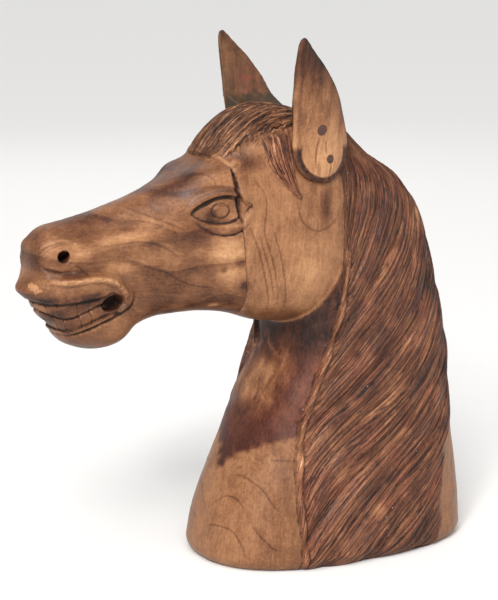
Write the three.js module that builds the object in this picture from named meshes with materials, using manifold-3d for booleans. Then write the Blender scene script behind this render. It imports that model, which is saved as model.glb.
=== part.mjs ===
// A carved wooden bust of a horse's head: two glued blocks, and two ears that are pegged on with dowels.
// Millimetres, +Z up. The horse looks along -X, its left side faces -Y, and the origin is the middle of
// the flat underside. The carved form is given in thousandths of the bust's height.

import * as THREE from 'three';
import { mergeVertices } from 'three/addons/utils/BufferGeometryUtils.js';
import Module from 'manifold-3d';

const wasm = await Module();
wasm.setup();

// Driving dimensions, in millimetres
const HEIGHT = 480; // from the underside to the tips of the ears
const FOOT_ROUNDING = 12; // worn lower edge of the neck
const GLUE_GAP = 0.4; // open glue line between the two blocks
const FIT = 0.3; // clearance around a dowel
const SEAT_FIT = 0.5; // clearance between an ear and the head it sits on
const UPPER_DOWEL = 9; // diameter of the dowel that shows higher up on an ear
const LOWER_DOWEL = 7.5; // diameter of the one below it
const DOWEL_GRIP = 24; // depth that a dowel goes into the head
const EAR_THICKNESS = 9; // the hollowed part of an ear
const EAR_EDGE = 4; // its edges
const NOSTRIL_BORE = 10.5; // diameter of a drilled nostril
const NOSTRIL_DEPTH = 20;
const MOUTH_BORE_DEPTH = 15; // the hole drilled in each corner of the mouth
const TEETH_DEPTH = 3.4; // how far the teeth lie behind the lips
const EYE_DEPTH = 3; // depth of the opening between the eyelids

// Fineness of the faceted skin
const HEAD_RINGS = 30;
const HEAD_SIDES = 32;
const EAR_ARC = 5; // facets across one face of an ear
const STRIP_SIDES = 4;
const ROUND_SIDES = 14;

const unit = HEIGHT / 1000;
const CLEAR = 2 * HEIGHT; // a distance that lies clear of the bust
const sides = [-1, 1]; // the horse's left and right

// Small helpers

const lerp = THREE.MathUtils.lerp;
const clamp = THREE.MathUtils.clamp;
const smoothstep = THREE.MathUtils.smoothstep;

// A value raised to a power with its sign kept, for the sides of a superellipse
const signedPower = (value, power) => Math.sign(value) * Math.abs(value) ** power;

// A point of the carved form, from thousandths of the height to millimetres
const carved = (x, y, z) => new THREE.Vector3(x, y, z).multiplyScalar(unit);

// A smooth curve through rows of numbers, read at t from 0 to 1
function through(rows) {
  const column = (c) => new THREE.SplineCurve(rows.map((row, i) => new THREE.Vector2(i, row[c])));
  const columns = rows[0].map((_, c) => column(c));
  return (t) => columns.map((curve) => curve.getPoint(clamp(t, 0, 1)).y);
}

// Rows that start with a height, read at a height
function byHeight(rows) {
  const last = rows.length - 1;
  const curve = through(rows);
  return (z) => {
    let i = 0;
    while (i < last - 1 && rows[i + 1][0] < z) i++;
    return curve((i + clamp((z - rows[i][0]) / (rows[i + 1][0] - rows[i][0]), 0, 1)) / last);
  };
}

// The same closed geometry, turned inside out if its faces point in
function facingOut(geometry) {
  const p = geometry.attributes.position;
  const index = geometry.index.array;
  const [a, b, c] = [new THREE.Vector3(), new THREE.Vector3(), new THREE.Vector3()];
  let volume = 0;
  for (let i = 0; i < index.length; i += 3) {
    a.fromBufferAttribute(p, index[i]);
    b.fromBufferAttribute(p, index[i + 1]);
    c.fromBufferAttribute(p, index[i + 2]);
    volume += a.dot(b.cross(c));
  }
  if (volume < 0) geometry.setIndex(Array.from(index).reverse());
  return geometry;
}

// A closed skin over rings of points, with a flat cap at each end. Where leans says so, the facets of a
// column are split along their other diagonal.
function skin(rings, leans = () => false) {
  const count = rings[0].length;
  const points = rings.flat();
  const faces = [];
  for (let r = 0; r + 1 < rings.length; r++) {
    for (let s = 0; s < count; s++) {
      const a = r * count + s;
      const b = r * count + (s + 1) % count;
      if (leans(s)) faces.push(a, b, a + count, b, b + count, a + count);
      else faces.push(a, b, b + count, a, b + count, a + count);
    }
  }
  for (const first of [0, (rings.length - 1) * count]) {
    const middle = new THREE.Vector3();
    for (let s = 0; s < count; s++) middle.addScaledVector(points[first + s], 1 / count);
    points.push(middle);
    for (let s = 0; s < count; s++) {
      const [near, next] = [first + s, first + (s + 1) % count];
      faces.push(points.length - 1, ...(first === 0 ? [next, near] : [near, next]));
    }
  }
  const geometry = new THREE.BufferGeometry().setFromPoints(points);
  geometry.setIndex(faces);
  return facingOut(geometry);
}

// A closed geometry as a solid that can be joined and cut
function solid(geometry) {
  const bare = geometry.clone();
  bare.deleteAttribute('normal');
  bare.deleteAttribute('uv');
  const merged = facingOut(mergeVertices(bare, 1e-4));
  return new wasm.Manifold(new wasm.Mesh({
    numProp: 3,
    vertProperties: Float32Array.from(merged.attributes.position.array),
    triVerts: Uint32Array.from(merged.index.array),
  }));
}

const joined = (geometries) => wasm.Manifold.union(geometries.map(solid));

// A solid as a named mesh
function piece(name, body, material) {
  const { vertProperties, triVerts } = body.getMesh();
  const geometry = new THREE.BufferGeometry();
  geometry.setAttribute('position', new THREE.BufferAttribute(Float32Array.from(vertProperties), 3));
  geometry.setIndex(Array.from(triVerts));
  geometry.computeVertexNormals();
  const mesh = new THREE.Mesh(geometry, material);
  mesh.name = name;
  return mesh;
}

// A slab across the horse, from an outline in the side view and its two places along Y, in millimetres
function slab(outline, from = -HEIGHT, to = HEIGHT) {
  const depth = Math.abs(to - from);
  const shape = new THREE.Shape(outline);
  const geometry = new THREE.ExtrudeGeometry(shape, { depth, bevelEnabled: false, steps: 1 });
  geometry.rotateX(Math.PI / 2);
  return geometry.translate(0, Math.max(from, to), 0);
}

// Points of a side-view outline, from thousandths of the height to millimetres
const sideView = (pairs) => pairs.map(([x, z]) => new THREE.Vector2(x * unit, z * unit));

// An oval outline in the side view, in thousandths of the height, tipped by an angle in degrees
function oval(x, z, acrossX, acrossZ, tip = 0) {
  const lean = THREE.MathUtils.degToRad(tip);
  const shape = new THREE.EllipseCurve(x, z, acrossX / 2, acrossZ / 2, 0, 2 * Math.PI, false, lean);
  return sideView(shape.getPoints(ROUND_SIDES).slice(0, -1).map((p) => [p.x, p.y]));
}

// A round bar between two points
function bar(from, to, diameter) {
  const along = new THREE.Vector3().subVectors(to, from);
  const geometry = new THREE.CylinderGeometry(diameter / 2, diameter / 2, along.length(), ROUND_SIDES);
  geometry.applyQuaternion(new THREE.Quaternion().setFromUnitVectors(
    new THREE.Vector3(0, 1, 0), along.clone().normalize()));
  const middle = new THREE.Vector3().addVectors(from, to).multiplyScalar(0.5);
  return geometry.translate(middle.x, middle.y, middle.z);
}

// Swellings and hollows of the head: each a soft push at a place, with its reach and its way, in
// thousandths of the height. One that lies off the middle works on both sides.
const HEAD_PUSHES = [
  { at: [-640, 0, 568], reach: [40, 44, 18], push: [-28, 0, 0] }, // upper lip
  { at: [-620, 0, 530], reach: [34, 60, 22], push: [-6, 0, 0] }, // front teeth
  { at: [-595, 62, 648], reach: [46, 30, 20], push: [-2, 7, 3] }, // upper rim of the nostril
  { at: [-590, 66, 628], reach: [26, 24, 14], push: [0, -4, 0] }, // dish around the nostril
  { at: [-556, 76, 588], reach: [80, 40, 15], push: [0, 8, 0] }, // edge of the upper lip
  { at: [-565, 76, 611], reach: [60, 40, 10], push: [0, -4, 0] }, // groove above that edge
  { at: [-452, 70, 548], reach: [26, 50, 50], push: [0, -5, 0] }, // behind the corner of the mouth
  { at: [-400, 70, 655], reach: [120, 40, 20], push: [0, 6, 0] }, // ridge of the face
  { at: [-385, 70, 588], reach: [90, 40, 40], push: [0, -7, 0] }, // hollow below it
  { at: [-318, 76, 752], reach: [44, 44, 22], push: [-3, 11, 11] }, // brow
  { at: [-292, 104, 688], reach: [66, 40, 34], push: [0, -3, 0] }, // socket of the eye
  { at: [-212, 100, 760], reach: [40, 40, 32], push: [0, -6, 0] }, // temple
  { at: [-110, 116, 590], reach: [95, 60, 105], push: [0, 8, 0] }, // cheek
];

function pushed(point) {
  const [x, y, z] = point.clone().divideScalar(unit).toArray();
  const moved = point.clone();
  for (const { at, reach, push } of HEAD_PUSHES) {
    for (const side of at[1] === 0 ? [1] : sides) {
      const away = [x - at[0], y - side * at[1], z - at[2]];
      const far = away.reduce((sum, distance, i) => sum + (distance / reach[i]) ** 2, 0);
      moved.add(carved(push[0], side * push[1], push[2]).multiplyScalar(Math.exp(-far)));
    }
  }
  return moved;
}

// The head, from the muzzle back to where it sinks into the neck. Each rib: top and bottom on the middle
// line, half width, how much wider it is above than below, and how square it is.
const HEAD_RIBS = [
  [-622, 661, -594, 498, 56, 0.02, 2.4],
  [-600, 677, -570, 464, 68, -0.04, 2.4],
  [-555, 686, -519, 447, 74, -0.08, 2.3],
  [-508, 696, -466, 452, 70, -0.06, 2.3],
  [-466, 708, -430, 480, 66, 0.0, 2.3],
  [-424, 720, -388, 492, 69, 0.06, 2.3],
  [-377, 737, -339, 494, 78, 0.12, 2.4],
  [-335, 754, -290, 493, 92, 0.14, 2.5],
  [-296, 775, -237, 484, 104, 0.08, 2.7],
  [-254, 812, -186, 466, 111, 0.0, 2.8],
  [-201, 847, -131, 459, 116, -0.06, 2.9],
  [-130, 860, -80, 461, 118, -0.08, 3.0],
  [-66, 848, -44, 488, 117, -0.06, 3.0],
  [-24, 818, -16, 540, 108, 0.0, 2.8],
  [-8, 776, -4, 604, 84, 0.0, 2.4],
];
const MUZZLE_DOME = 22; // how far the muzzle's front bulges ahead of the first rib
const DOME_RINGS = 5;
const headRib = through(HEAD_RIBS);

// One ring of the head at t, shrunk to a share of its size and moved ahead, and grown all round in
// millimetres
function headRing(t, share, ahead, grow) {
  const [topX, topZ, bottomX, bottomZ, half, taper, square] = headRib(t);
  const up = carved(topX - bottomX, 0, topZ - bottomZ);
  const middle = carved((topX + bottomX) / 2, 0, (topZ + bottomZ) / 2);
  const reach = up.length() / 2;
  up.normalize();
  const forward = new THREE.Vector3(-up.z, 0, up.x);
  const ring = [];
  for (let s = 0; s < HEAD_SIDES; s++) {
    const angle = 2 * Math.PI * s / HEAD_SIDES;
    const rise = signedPower(Math.cos(angle), 2 / square);
    const out = signedPower(Math.sin(angle), 2 / square) * (1 + taper * Math.cos(angle));
    const point = pushed(middle.clone()
      .addScaledVector(up, rise * reach * share)
      .addScaledVector(forward, ahead)
      .add(new THREE.Vector3(0, out * half * unit * share, 0)));
    const outward = new THREE.Vector3(0, out * share, 0).addScaledVector(up, rise * share);
    if (share < 1) outward.addScaledVector(forward, 1 - share);
    ring.push(point.addScaledVector(outward.normalize(), grow));
  }
  return ring;
}

function headSkin(grow = 0) {
  const rings = [];
  for (let r = 1; r <= DOME_RINGS; r++) {
    const angle = Math.PI / 2 * r / (DOME_RINGS + 1);
    rings.push(headRing(0, Math.sin(angle) ** 0.8, MUZZLE_DOME * unit * Math.cos(angle), grow));
  }
  for (let r = 0; r <= HEAD_RINGS; r++) rings.push(headRing(r / HEAD_RINGS, 1, 0, grow));
  return skin(rings);
}

// The neck. Each level: height, front and rear on the middle line, half width, and squareness of the
// front and of the rear.
const NECK_LEVELS = [
  [0, -294, 272, 190, 2.3, 3.0],
  [81, -279, 268, 186, 2.3, 3.0],
  [153, -253, 263, 178, 2.2, 2.9],
  [220, -221, 258, 168, 2.2, 2.8],
  [292, -189, 253, 157, 2.2, 2.7],
  [381, -149, 251, 146, 2.2, 2.6],
  [450, -130, 242, 137, 2.2, 2.5],
  [506, -122, 231, 130, 2.2, 2.4],
  [604, -118, 207, 118, 2.2, 2.3],
  [676, -116, 178, 108, 2.2, 2.2],
  [727, -112, 132, 97, 2.1, 2.1],
  [771, -104, 60, 84, 2.1, 2.1],
  [812, -92, 8, 64, 2.0, 2.0],
  [840, -84, -36, 40, 2.0, 2.0],
];
const neckLevel = byHeight(NECK_LEVELS);
const NECK_TOP = NECK_LEVELS.at(-1)[0];
const THROAT_COLUMNS = 6; // facets from the throat's middle to the mane's front edge

// The mane lies over each side of the neck in combed locks that fall from the crest to a front edge.
// Each row: height, and the front edge's place along X on the left and on the right.
const MANE_EDGE = byHeight([
  [0, -158, -158],
  [106, -161, -161],
  [182, -157, -159],
  [275, -140, -152],
  [327, -115, -146],
  [416, -79, -132],
  [503, -50, -92],
  [597, -36, -46],
  [693, -38, -38],
  [840, -60, -60],
]);
const LOCK = 92; // height between one lock and the next
const LOCK_ROWS = 3; // facets across one lock
const MANE_COLUMNS = 16; // facets from the front edge to the crest; a lock climbs one row in each
const LOCK_RISE = 8; // how far the locks stand out of their grooves
const MANE_RISE = 3; // how far the mane as a whole stands out
const row = LOCK / LOCK_ROWS;

// How far the mane lifts the neck's skin, in thousandths of the height
function maneLift(x, z, climb) {
  const lock = (z / row - climb) / LOCK_ROWS;
  const ridge = Math.abs(Math.sin(Math.PI * lock)) ** 0.8 - 0.6;
  const worn = smoothstep(x, 222, 242) * (1 - smoothstep(z, 260, 320));
  return (MANE_RISE + LOCK_RISE * ridge) * (1 - worn) * smoothstep(climb, -0.5, 0.5);
}

// One side of the neck at a level, from the throat to just before the crest, taken in by millimetres
function neckHalf(z, side, inset) {
  const [, front, rear, half, squareFront, squareRear] = neckLevel(z);
  const edge = MANE_EDGE(z)[side < 0 ? 1 : 2];
  const edgeAngle = Math.acos(clamp(edge / front, 0, 1) ** (squareFront / 2));
  const points = [];
  for (let c = 0; c < THROAT_COLUMNS + MANE_COLUMNS; c++) {
    const climb = c - THROAT_COLUMNS;
    const across = (1 - Math.cos(Math.PI * climb / MANE_COLUMNS)) / 2;
    const x = climb < 0
      ? front * Math.cos(edgeAngle * c / THROAT_COLUMNS) ** (2 / squareFront)
      : lerp(edge, rear, across);
    const square = x < 0 ? squareFront : squareRear;
    const y = half * (1 - clamp(x / (x < 0 ? front : rear), 0, 1) ** square) ** (1 / square);
    const lift = maneLift(x, z, climb) - inset / unit;
    const grown = 1 + lift / Math.max(Math.hypot(x, y), 30);
    points.push(carved(x * grown, side * y * grown, z));
  }
  return points;
}

function neckRing(z, inset) {
  const [, , rear] = neckLevel(z);
  const crest = carved(rear - inset / unit + maneLift(rear, z, MANE_COLUMNS), 0, z);
  const right = neckHalf(z, 1, inset);
  return [...neckHalf(z, -1, inset), crest, ...right.slice(1).reverse()];
}

function neckSkin(grow = 0) {
  const rings = [];
  const foot = FOOT_ROUNDING / unit;
  const footSteps = 3;
  for (let r = 0; r < footSteps; r++) {
    const angle = Math.PI / 2 * (r + 0.4) / footSteps;
    rings.push(neckRing(foot * (1 - Math.cos(angle)), FOOT_ROUNDING * (1 - Math.sin(angle)) - grow));
  }
  rings[0].forEach((point) => point.setZ(0));
  for (let z = Math.ceil(foot / row) * row; z <= NECK_TOP; z += row) rings.push(neckRing(z, -grow));
  const columns = THROAT_COLUMNS + MANE_COLUMNS;
  return skin(rings, (s) => s >= columns);
}

// Carving on the skin

// A finder of points on a solid's skin: where a line from a place first meets it, with the outward way
function finder(body) {
  const target = piece('target', body, new THREE.MeshBasicMaterial({ side: THREE.DoubleSide }));
  const ray = new THREE.Raycaster();
  return (from, way) => {
    ray.set(from, way);
    const hit = ray.intersectObject(target)[0];
    const normal = hit.face.normal.clone();
    if (normal.dot(way) > 0) normal.negate();
    return { point: hit.point, normal };
  };
}

// The point of the skin that shows at a place in the side view
function fromSide(find, x, z, side) {
  return find(carved(x, 0, z).setY(side * CLEAR), new THREE.Vector3(0, -side, 0));
}

// A carved line over the skin: a lens-shaped bead along a path, so wide and so high at its middle, both in
// thousandths of the height, and thinning to its ends
function bead(path, width, height) {
  const rings = path.map(({ point, normal }, i) => {
    const before = path[Math.max(i - 1, 0)].point;
    const after = path[Math.min(i + 1, path.length - 1)].point;
    const along = new THREE.Vector3().subVectors(after, before);
    const across = along.cross(normal).normalize();
    const share = Math.sin(Math.PI * (i + 0.6) / (path.length + 0.2)) ** 0.5;
    const ring = [];
    for (let s = 0; s < STRIP_SIDES; s++) {
      const angle = 2 * Math.PI * s / STRIP_SIDES;
      ring.push(point.clone()
        .addScaledVector(across, Math.cos(angle) * width / 2 * unit * share)
        .addScaledVector(normal, Math.sin(angle) * height * unit * share));
    }
    return ring;
  });
  return skin(rings);
}

// A path over one side of the head through side-view points, in a number of steps
function sidePath(find, pairs, side, steps) {
  const curve = through(pairs);
  const path = [];
  for (let i = 0; i <= steps; i++) {
    const [x, z] = curve(i / steps);
    path.push(find(new THREE.Vector3(x * unit, side * CLEAR, z * unit), new THREE.Vector3(0, -side, 0)));
  }
  return path;
}

// The same around the muzzle, through points given by their turn in degrees from straight ahead and height
function muzzlePath(find, pairs, side, steps) {
  const curve = through(pairs);
  const path = [];
  for (let i = 0; i <= steps; i++) {
    const [turn, z] = curve(i / steps);
    const angle = THREE.MathUtils.degToRad(turn);
    const way = new THREE.Vector3(Math.cos(angle), -side * Math.sin(angle), 0);
    path.push(find(carved(MUZZLE_MIDDLE, 0, z).addScaledVector(way, -CLEAR), way));
  }
  return path;
}

const beads = (find, lines, along = sidePath) => sides.flatMap((side) => lines.map(
  ({ path, width, height, steps }) => bead(along(find, path, side, steps), width, height)));

// Raised lines, in the side view
const RIDGES = [
  { path: [[-618, 590], [-601, 587], [-571, 588], [-544, 589], [-519, 586], [-497, 577], [-478, 562],
    [-464, 545]],
    width: 15, height: 5, steps: 7 }, // outer edge of the upper lip
  { path: [[-345, 700], [-325, 713], [-300, 722], [-272, 723], [-250, 715], [-230, 698]],
    width: 12, height: 4, steps: 6 }, // upper eyelid
  { path: [[-345, 681], [-327, 669], [-308, 661], [-288, 657], [-266, 659], [-248, 667], [-232, 682]],
    width: 12, height: 3, steps: 6 }, // lower eyelid
];

// Incised lines, in the side view
const INCISIONS = [
  { path: [[-345, 676], [-327, 661], [-311, 652], [-290, 647], [-268, 648], [-251, 656], [-234, 670]],
    width: 5, height: 3.5, steps: 6 }, // under the lower eyelid
  { path: [[-629, 617], [-621, 610], [-605, 605], [-589, 603], [-572, 604]],
    width: 8, height: 4, steps: 3 }, // under the nostril
];
const EYE = [[-347, 688], [-330, 700], [-305, 712], [-280, 716], [-255, 711], [-230, 693], [-246, 680],
  [-270, 672], [-295, 669], [-325, 676]];
const EYE_MIDDLE = [-293, 692];

// The open mouth, and the line where the teeth meet
const MOUTH = [[-720, 552], [-636, 549], [-602, 546], [-565, 549], [-520, 553], [-500, 560], [-476, 548],
  [-470, 534], [-482, 522], [-515, 516], [-548, 503], [-581, 492], [-605, 496], [-640, 504], [-720, 500]];
const MOUTH_CORNER = [-498, 538, 46, 27, 8];
const NOSTRIL = [-589, 630];
const MUZZLE_MIDDLE = -560; // place along X of the upright axis that the teeth stand around
const BITE = { path: [[-6, 530], [25, 526], [45, 518], [60, 515], [80, 518], [98, 526], [116, 537]],
  width: 7, height: 5, steps: 7 };

// The forelock: a raised cap of hair that ends across the forehead. Each row: place along X, and half width.
const FORELOCK = through([[-290, 20], [-286, 40], [-273, 58], [-258, 66], [-236, 73], [-210, 78], [-182, 81],
  [-152, 82], [-122, 82], [-96, 80], [-70, 74]]);
const FORELOCK_RISE = 16;
const FORELOCK_SINK = 12;
const FORELOCK_STEPS = 10;
const FORELOCK_STRANDS = 5; // on each side of the parting

// Two rays of points over the head at a place along X, above the skin and below it, as one ring
function forelockRing(find, t, grow) {
  const [x, half] = FORELOCK(t);
  const columns = 4 * FORELOCK_STRANDS;
  const [over, under] = [[], []];
  for (let c = 0; c <= columns; c++) {
    const across = 2 * c / columns - 1;
    const from = carved(x + t * grow / unit, (half + grow / unit) * across, 0).setZ(CLEAR);
    const { point } = find(from, new THREE.Vector3(0, 0, -1));
    const strand = c % 2 === 0 ? 1 : 0.55;
    const edge = Math.sqrt(1 - across ** 8) * clamp(t * 2.5 + 0.06, 0, 1) * clamp((1 - t) * 3, 0, 1);
    over.push(point.clone().add(carved(0, across * 2, FORELOCK_RISE * strand * edge + grow / unit)));
    under.push(point.clone().add(carved(0, 0, -FORELOCK_SINK)));
  }
  return [...over, ...under.reverse()];
}

function forelockSkin(find, grow = 0) {
  const rings = [];
  for (let i = 0; i <= FORELOCK_STEPS; i++) rings.push(forelockRing(find, i / FORELOCK_STEPS, grow));
  return skin(rings);
}

// The ears: hollowed shells that face each other and flare outwards. Each level: height, and the leading
// and trailing edges along X.
const EAR_LEVELS = [
  [730, -95.5, -75.5],
  [734, -110.5, -65.5],
  [745.5, -130.5, -53.5],
  [762, -144.5, -40.5],
  [786, -151, -32],
  [815, -154, -34],
  [845, -156, -43],
  [864, -158, -50],
  [886, -159, -58],
  [911, -159, -71],
  [932, -160, -86],
  [954, -160, -103],
  [976, -160, -123],
  [990, -158.5, -135],
  [997, -156, -141],
  [1000, -152, -145.5],
];
const EAR_FLARE = 0.168; // how far an ear leans out for each unit of height
const EAR_TIP = 148; // distance of its tip from the middle plane
const EAR_BULGE = 0.14; // roundness of its outer face, as a share of its breadth
const EAR_FOOT = [836, 886]; // it thickens between these heights to meet the head
const EAR_FOOT_THICKNESS = 56;
const EAR_HEEL = 16; // how far its lower end stands proud of the head
const EAR_HEEL_LEVELS = [730, 802];
const DOWEL_PLACES = [[-101, 831, UPPER_DOWEL], [-79, 776, LOWER_DOWEL]];

function earRing([z, leading, trailing], side) {
  const breadth = trailing - leading;
  const heel = EAR_HEEL * (1 - smoothstep(z, ...EAR_HEEL_LEVELS));
  const base = EAR_TIP - EAR_FLARE * (1000 - z) + heel;
  const foot = 1 - smoothstep(z, ...EAR_FOOT);
  const [outer, inner] = [[], []];
  for (let c = 0; c <= EAR_ARC; c++) {
    const across = 2 * c / EAR_ARC - 1;
    const bulge = EAR_BULGE * breadth * (1 - across ** 2);
    const shell = lerp(EAR_EDGE, EAR_THICKNESS, 1 - across ** 2) / unit * clamp(breadth / 60, 0.3, 1);
    const x = leading + breadth * c / EAR_ARC;
    const narrowed = lerp(x, trailing, 0.3 * foot);
    outer.push(carved(x, side * (base + bulge), z));
    inner.push(carved(narrowed, side * (base + bulge - lerp(shell, EAR_FOOT_THICKNESS, foot) - heel), z));
  }
  return [...outer, ...inner.reverse()];
}

// The dowels of one ear, thicker and longer by some clearance
function dowel([x, z, diameter], side, face, clearance) {
  const from = face.clone();
  const to = new THREE.Vector3(x * unit, 0, z * unit);
  const length = side * face.y;
  to.setY(side * (length - DOWEL_GRIP - EAR_THICKNESS - clearance));
  from.setY(side * (length + (clearance > 0 ? DOWEL_GRIP : 0)));
  return bar(from, to, diameter + 2 * clearance);
}

// The two blocks, parted along the glue line that runs down through the eyes
const GLUE_LINE = [[-222, 430], [-231, 505], [-245, 591], [-256, 686], [-262, 757], [-292, 797], [-340, 840]];

function aheadOfGlueLine(gap) {
  const line = sideView(GLUE_LINE).map((p) => p.sub(new THREE.Vector2(gap, 0)));
  const ahead = (y) => new THREE.Vector2(-CLEAR, y);
  return slab([ahead(line[0].y), ...line, ahead(line.at(-1).y)]);
}

// Carving the bust

const head = solid(headSkin());
const plain = head.add(solid(neckSkin()));
const onHead = finder(head);
const teeth = solid(headSkin(-TEETH_DEPTH));
const biting = beads(finder(teeth), [BITE], muzzlePath);
const mouth = solid(slab(sideView(MOUTH))).subtract(teeth);
const eyes = solid(slab(sideView(EYE))).subtract(solid(headSkin(-EYE_DEPTH)));
const corners = joined(sides.map((side) => {
  const skinAt = fromSide(onHead, MOUTH_CORNER[0], MOUTH_CORNER[1], side);
  return slab(oval(...MOUTH_CORNER), side * HEIGHT, skinAt.point.y - side * MOUTH_BORE_DEPTH);
}));
const nostrils = joined(sides.map((side) => {
  const skinAt = fromSide(onHead, ...NOSTRIL, side);
  const way = new THREE.Vector3(0.35, -side, 0.1).normalize();
  const from = skinAt.point.clone().addScaledVector(way, -NOSTRIL_DEPTH);
  return bar(from, skinAt.point.clone().addScaledVector(way, NOSTRIL_DEPTH), NOSTRIL_BORE);
}));
const eyeballs = joined(sides.map((side) => {
  const [x, z] = EYE_MIDDLE;
  const skinAt = fromSide(onHead, x, z, side);
  const ball = new THREE.SphereGeometry(1, 14, 8).scale(52 * unit, 12, 34 * unit);
  return ball.rotateZ(side * 0.2).translate(x * unit, skinAt.point.y - side * 12.6, z * unit);
}));

const bust = plain
  .add(joined([forelockSkin(onHead), ...beads(onHead, RIDGES)]))
  .subtract(joined([...biting, ...beads(onHead, INCISIONS)]))
  .subtract(mouth)
  .subtract(eyes)
  .add(eyeballs)
  .subtract(corners)
  .subtract(nostrils);

const heartwood = new THREE.MeshStandardMaterial({ color: 0x7a4f35, roughness: 0.55, metalness: 0 });
const sapwood = new THREE.MeshStandardMaterial({ color: 0xa9774e, roughness: 0.55, metalness: 0 });
const darkwood = new THREE.MeshStandardMaterial({ color: 0x4a3021, roughness: 0.6, metalness: 0 });

// The ears and their dowels, fitted to the bust

const group = new THREE.Group();
const seat = joined([headSkin(SEAT_FIT), neckSkin(SEAT_FIT), forelockSkin(onHead, SEAT_FIT)]);
let block = bust.subtract(solid(aheadOfGlueLine(0)));
for (const side of sides) {
  const ear = side < 0 ? 'ear_left' : 'ear_right';
  const shell = solid(skin(EAR_LEVELS.map((level) => earRing(level, side))));
  const onShell = finder(shell);
  const faces = DOWEL_PLACES.map(([x, z]) => fromSide(onShell, x, z, side).point);
  const holes = joined(DOWEL_PLACES.map((place, i) => dowel(place, side, faces[i], FIT)));
  block = block.subtract(holes);
  group.add(piece(ear, shell.subtract(seat).subtract(holes), sapwood));
  DOWEL_PLACES.forEach((place, i) => {
    const name = `${ear}_dowel_${i === 0 ? 'upper' : 'lower'}`;
    group.add(piece(name, solid(dowel(place, side, faces[i], 0)), darkwood));
  });
}
group.add(piece('neck_block', block, sapwood));
group.add(piece('face_block', bust.intersect(solid(aheadOfGlueLine(GLUE_GAP))), heartwood));

export default group;
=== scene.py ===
import itertools
import math

import bpy
import numpy as np
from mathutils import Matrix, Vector
from mathutils.bvhtree import BVHTree


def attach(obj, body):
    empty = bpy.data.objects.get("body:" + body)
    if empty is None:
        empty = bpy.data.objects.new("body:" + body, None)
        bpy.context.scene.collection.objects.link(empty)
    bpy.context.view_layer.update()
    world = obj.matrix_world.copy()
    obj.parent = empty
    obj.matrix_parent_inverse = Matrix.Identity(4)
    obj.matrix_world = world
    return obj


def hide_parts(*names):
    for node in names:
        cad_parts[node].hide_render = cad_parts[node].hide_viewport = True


# The looks of a carved wooden horse's head. The form is the part's own, given as there in thousandths of
# its height, with a finer skin, and with the strokes of the carving and the colours of the wood on it.

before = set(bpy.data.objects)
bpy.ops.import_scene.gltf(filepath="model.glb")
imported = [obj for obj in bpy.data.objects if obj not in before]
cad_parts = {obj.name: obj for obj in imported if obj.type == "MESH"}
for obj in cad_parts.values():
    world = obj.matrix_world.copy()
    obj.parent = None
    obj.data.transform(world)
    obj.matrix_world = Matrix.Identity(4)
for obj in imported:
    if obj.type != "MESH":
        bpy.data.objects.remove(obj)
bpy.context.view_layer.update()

HEIGHT = 0.48  # metres
UNIT = HEIGHT / 1000
MM = 0.001 / UNIT  # a millimetre, in thousandths of the height

# How fine the meshes are: their voxels in metres, and the triangles that one piece may have
COARSE = 0.0018
FINE = 0.00105
EAR_FINE = 0.0010
MOST_TRIANGLES = 196000
EVENNESS = 0.0001  # how much long edges are spared when a mesh is made lighter

# Numbers that several places use, lengths in thousandths of the height
SIDES = (-1, 1)  # the horse's left and right
FAR = 1000  # well past the horse
BORE_START = 40  # how far outside a skin a bore starts


# Curves and soft steps

def through(rows):
    """A smooth curve through rows of numbers, read at places from 0 to 1."""
    rows = np.array(rows, float)
    last = len(rows) - 1

    def curve(t):
        place = np.clip(np.asarray(t, float), 0, 1) * last
        i = np.minimum(place.astype(int), last - 1)
        w = (place - i)[..., None]
        a, b = rows[np.maximum(i - 1, 0)], rows[i]
        c, d = rows[i + 1], rows[np.minimum(i + 2, last)]
        v, u = (c - a) / 2, (d - b) / 2
        return ((2 * b - 2 * c + v + u) * w + (-3 * b + 3 * c - 2 * v - u)) * w * w + v * w + b

    return curve


def by_height(rows):
    """Rows that start with a height, read at heights."""
    heights = np.array([r[0] for r in rows], float)
    curve = through(rows)
    return lambda z: curve(np.interp(z, heights, np.linspace(0, 1, len(heights))))


def smooth(value, low, high):
    t = np.clip((value - low) / (high - low), 0, 1)
    return t * t * (3 - 2 * t)


def power(value, exponent):
    return np.sign(value) * np.abs(value) ** exponent


# Soft random numbers in space, the same on each run

LATTICE_SIZE = 32
LATTICE = np.random.default_rng(11).random((LATTICE_SIZE,) * 3) * 2 - 1


def cloud(x, y, z):
    """Soft noise from -1 to 1, with one swelling to each unit of length."""
    x, y, z = np.broadcast_arrays(x, y, z)
    cell = [np.floor(v).astype(int) for v in (x, y, z)]
    part = [v - c for v, c in zip((x, y, z), cell)]
    part = [p * p * (3 - 2 * p) for p in part]
    total = 0
    for corner in itertools.product((0, 1), repeat=3):
        weight = 1
        for p, on in zip(part, corner):
            weight = weight * (p if on else 1 - p)
        total = total + weight * LATTICE[tuple((c + on) % LATTICE_SIZE for c, on in zip(cell, corner))]
    return total


# The head

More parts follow.
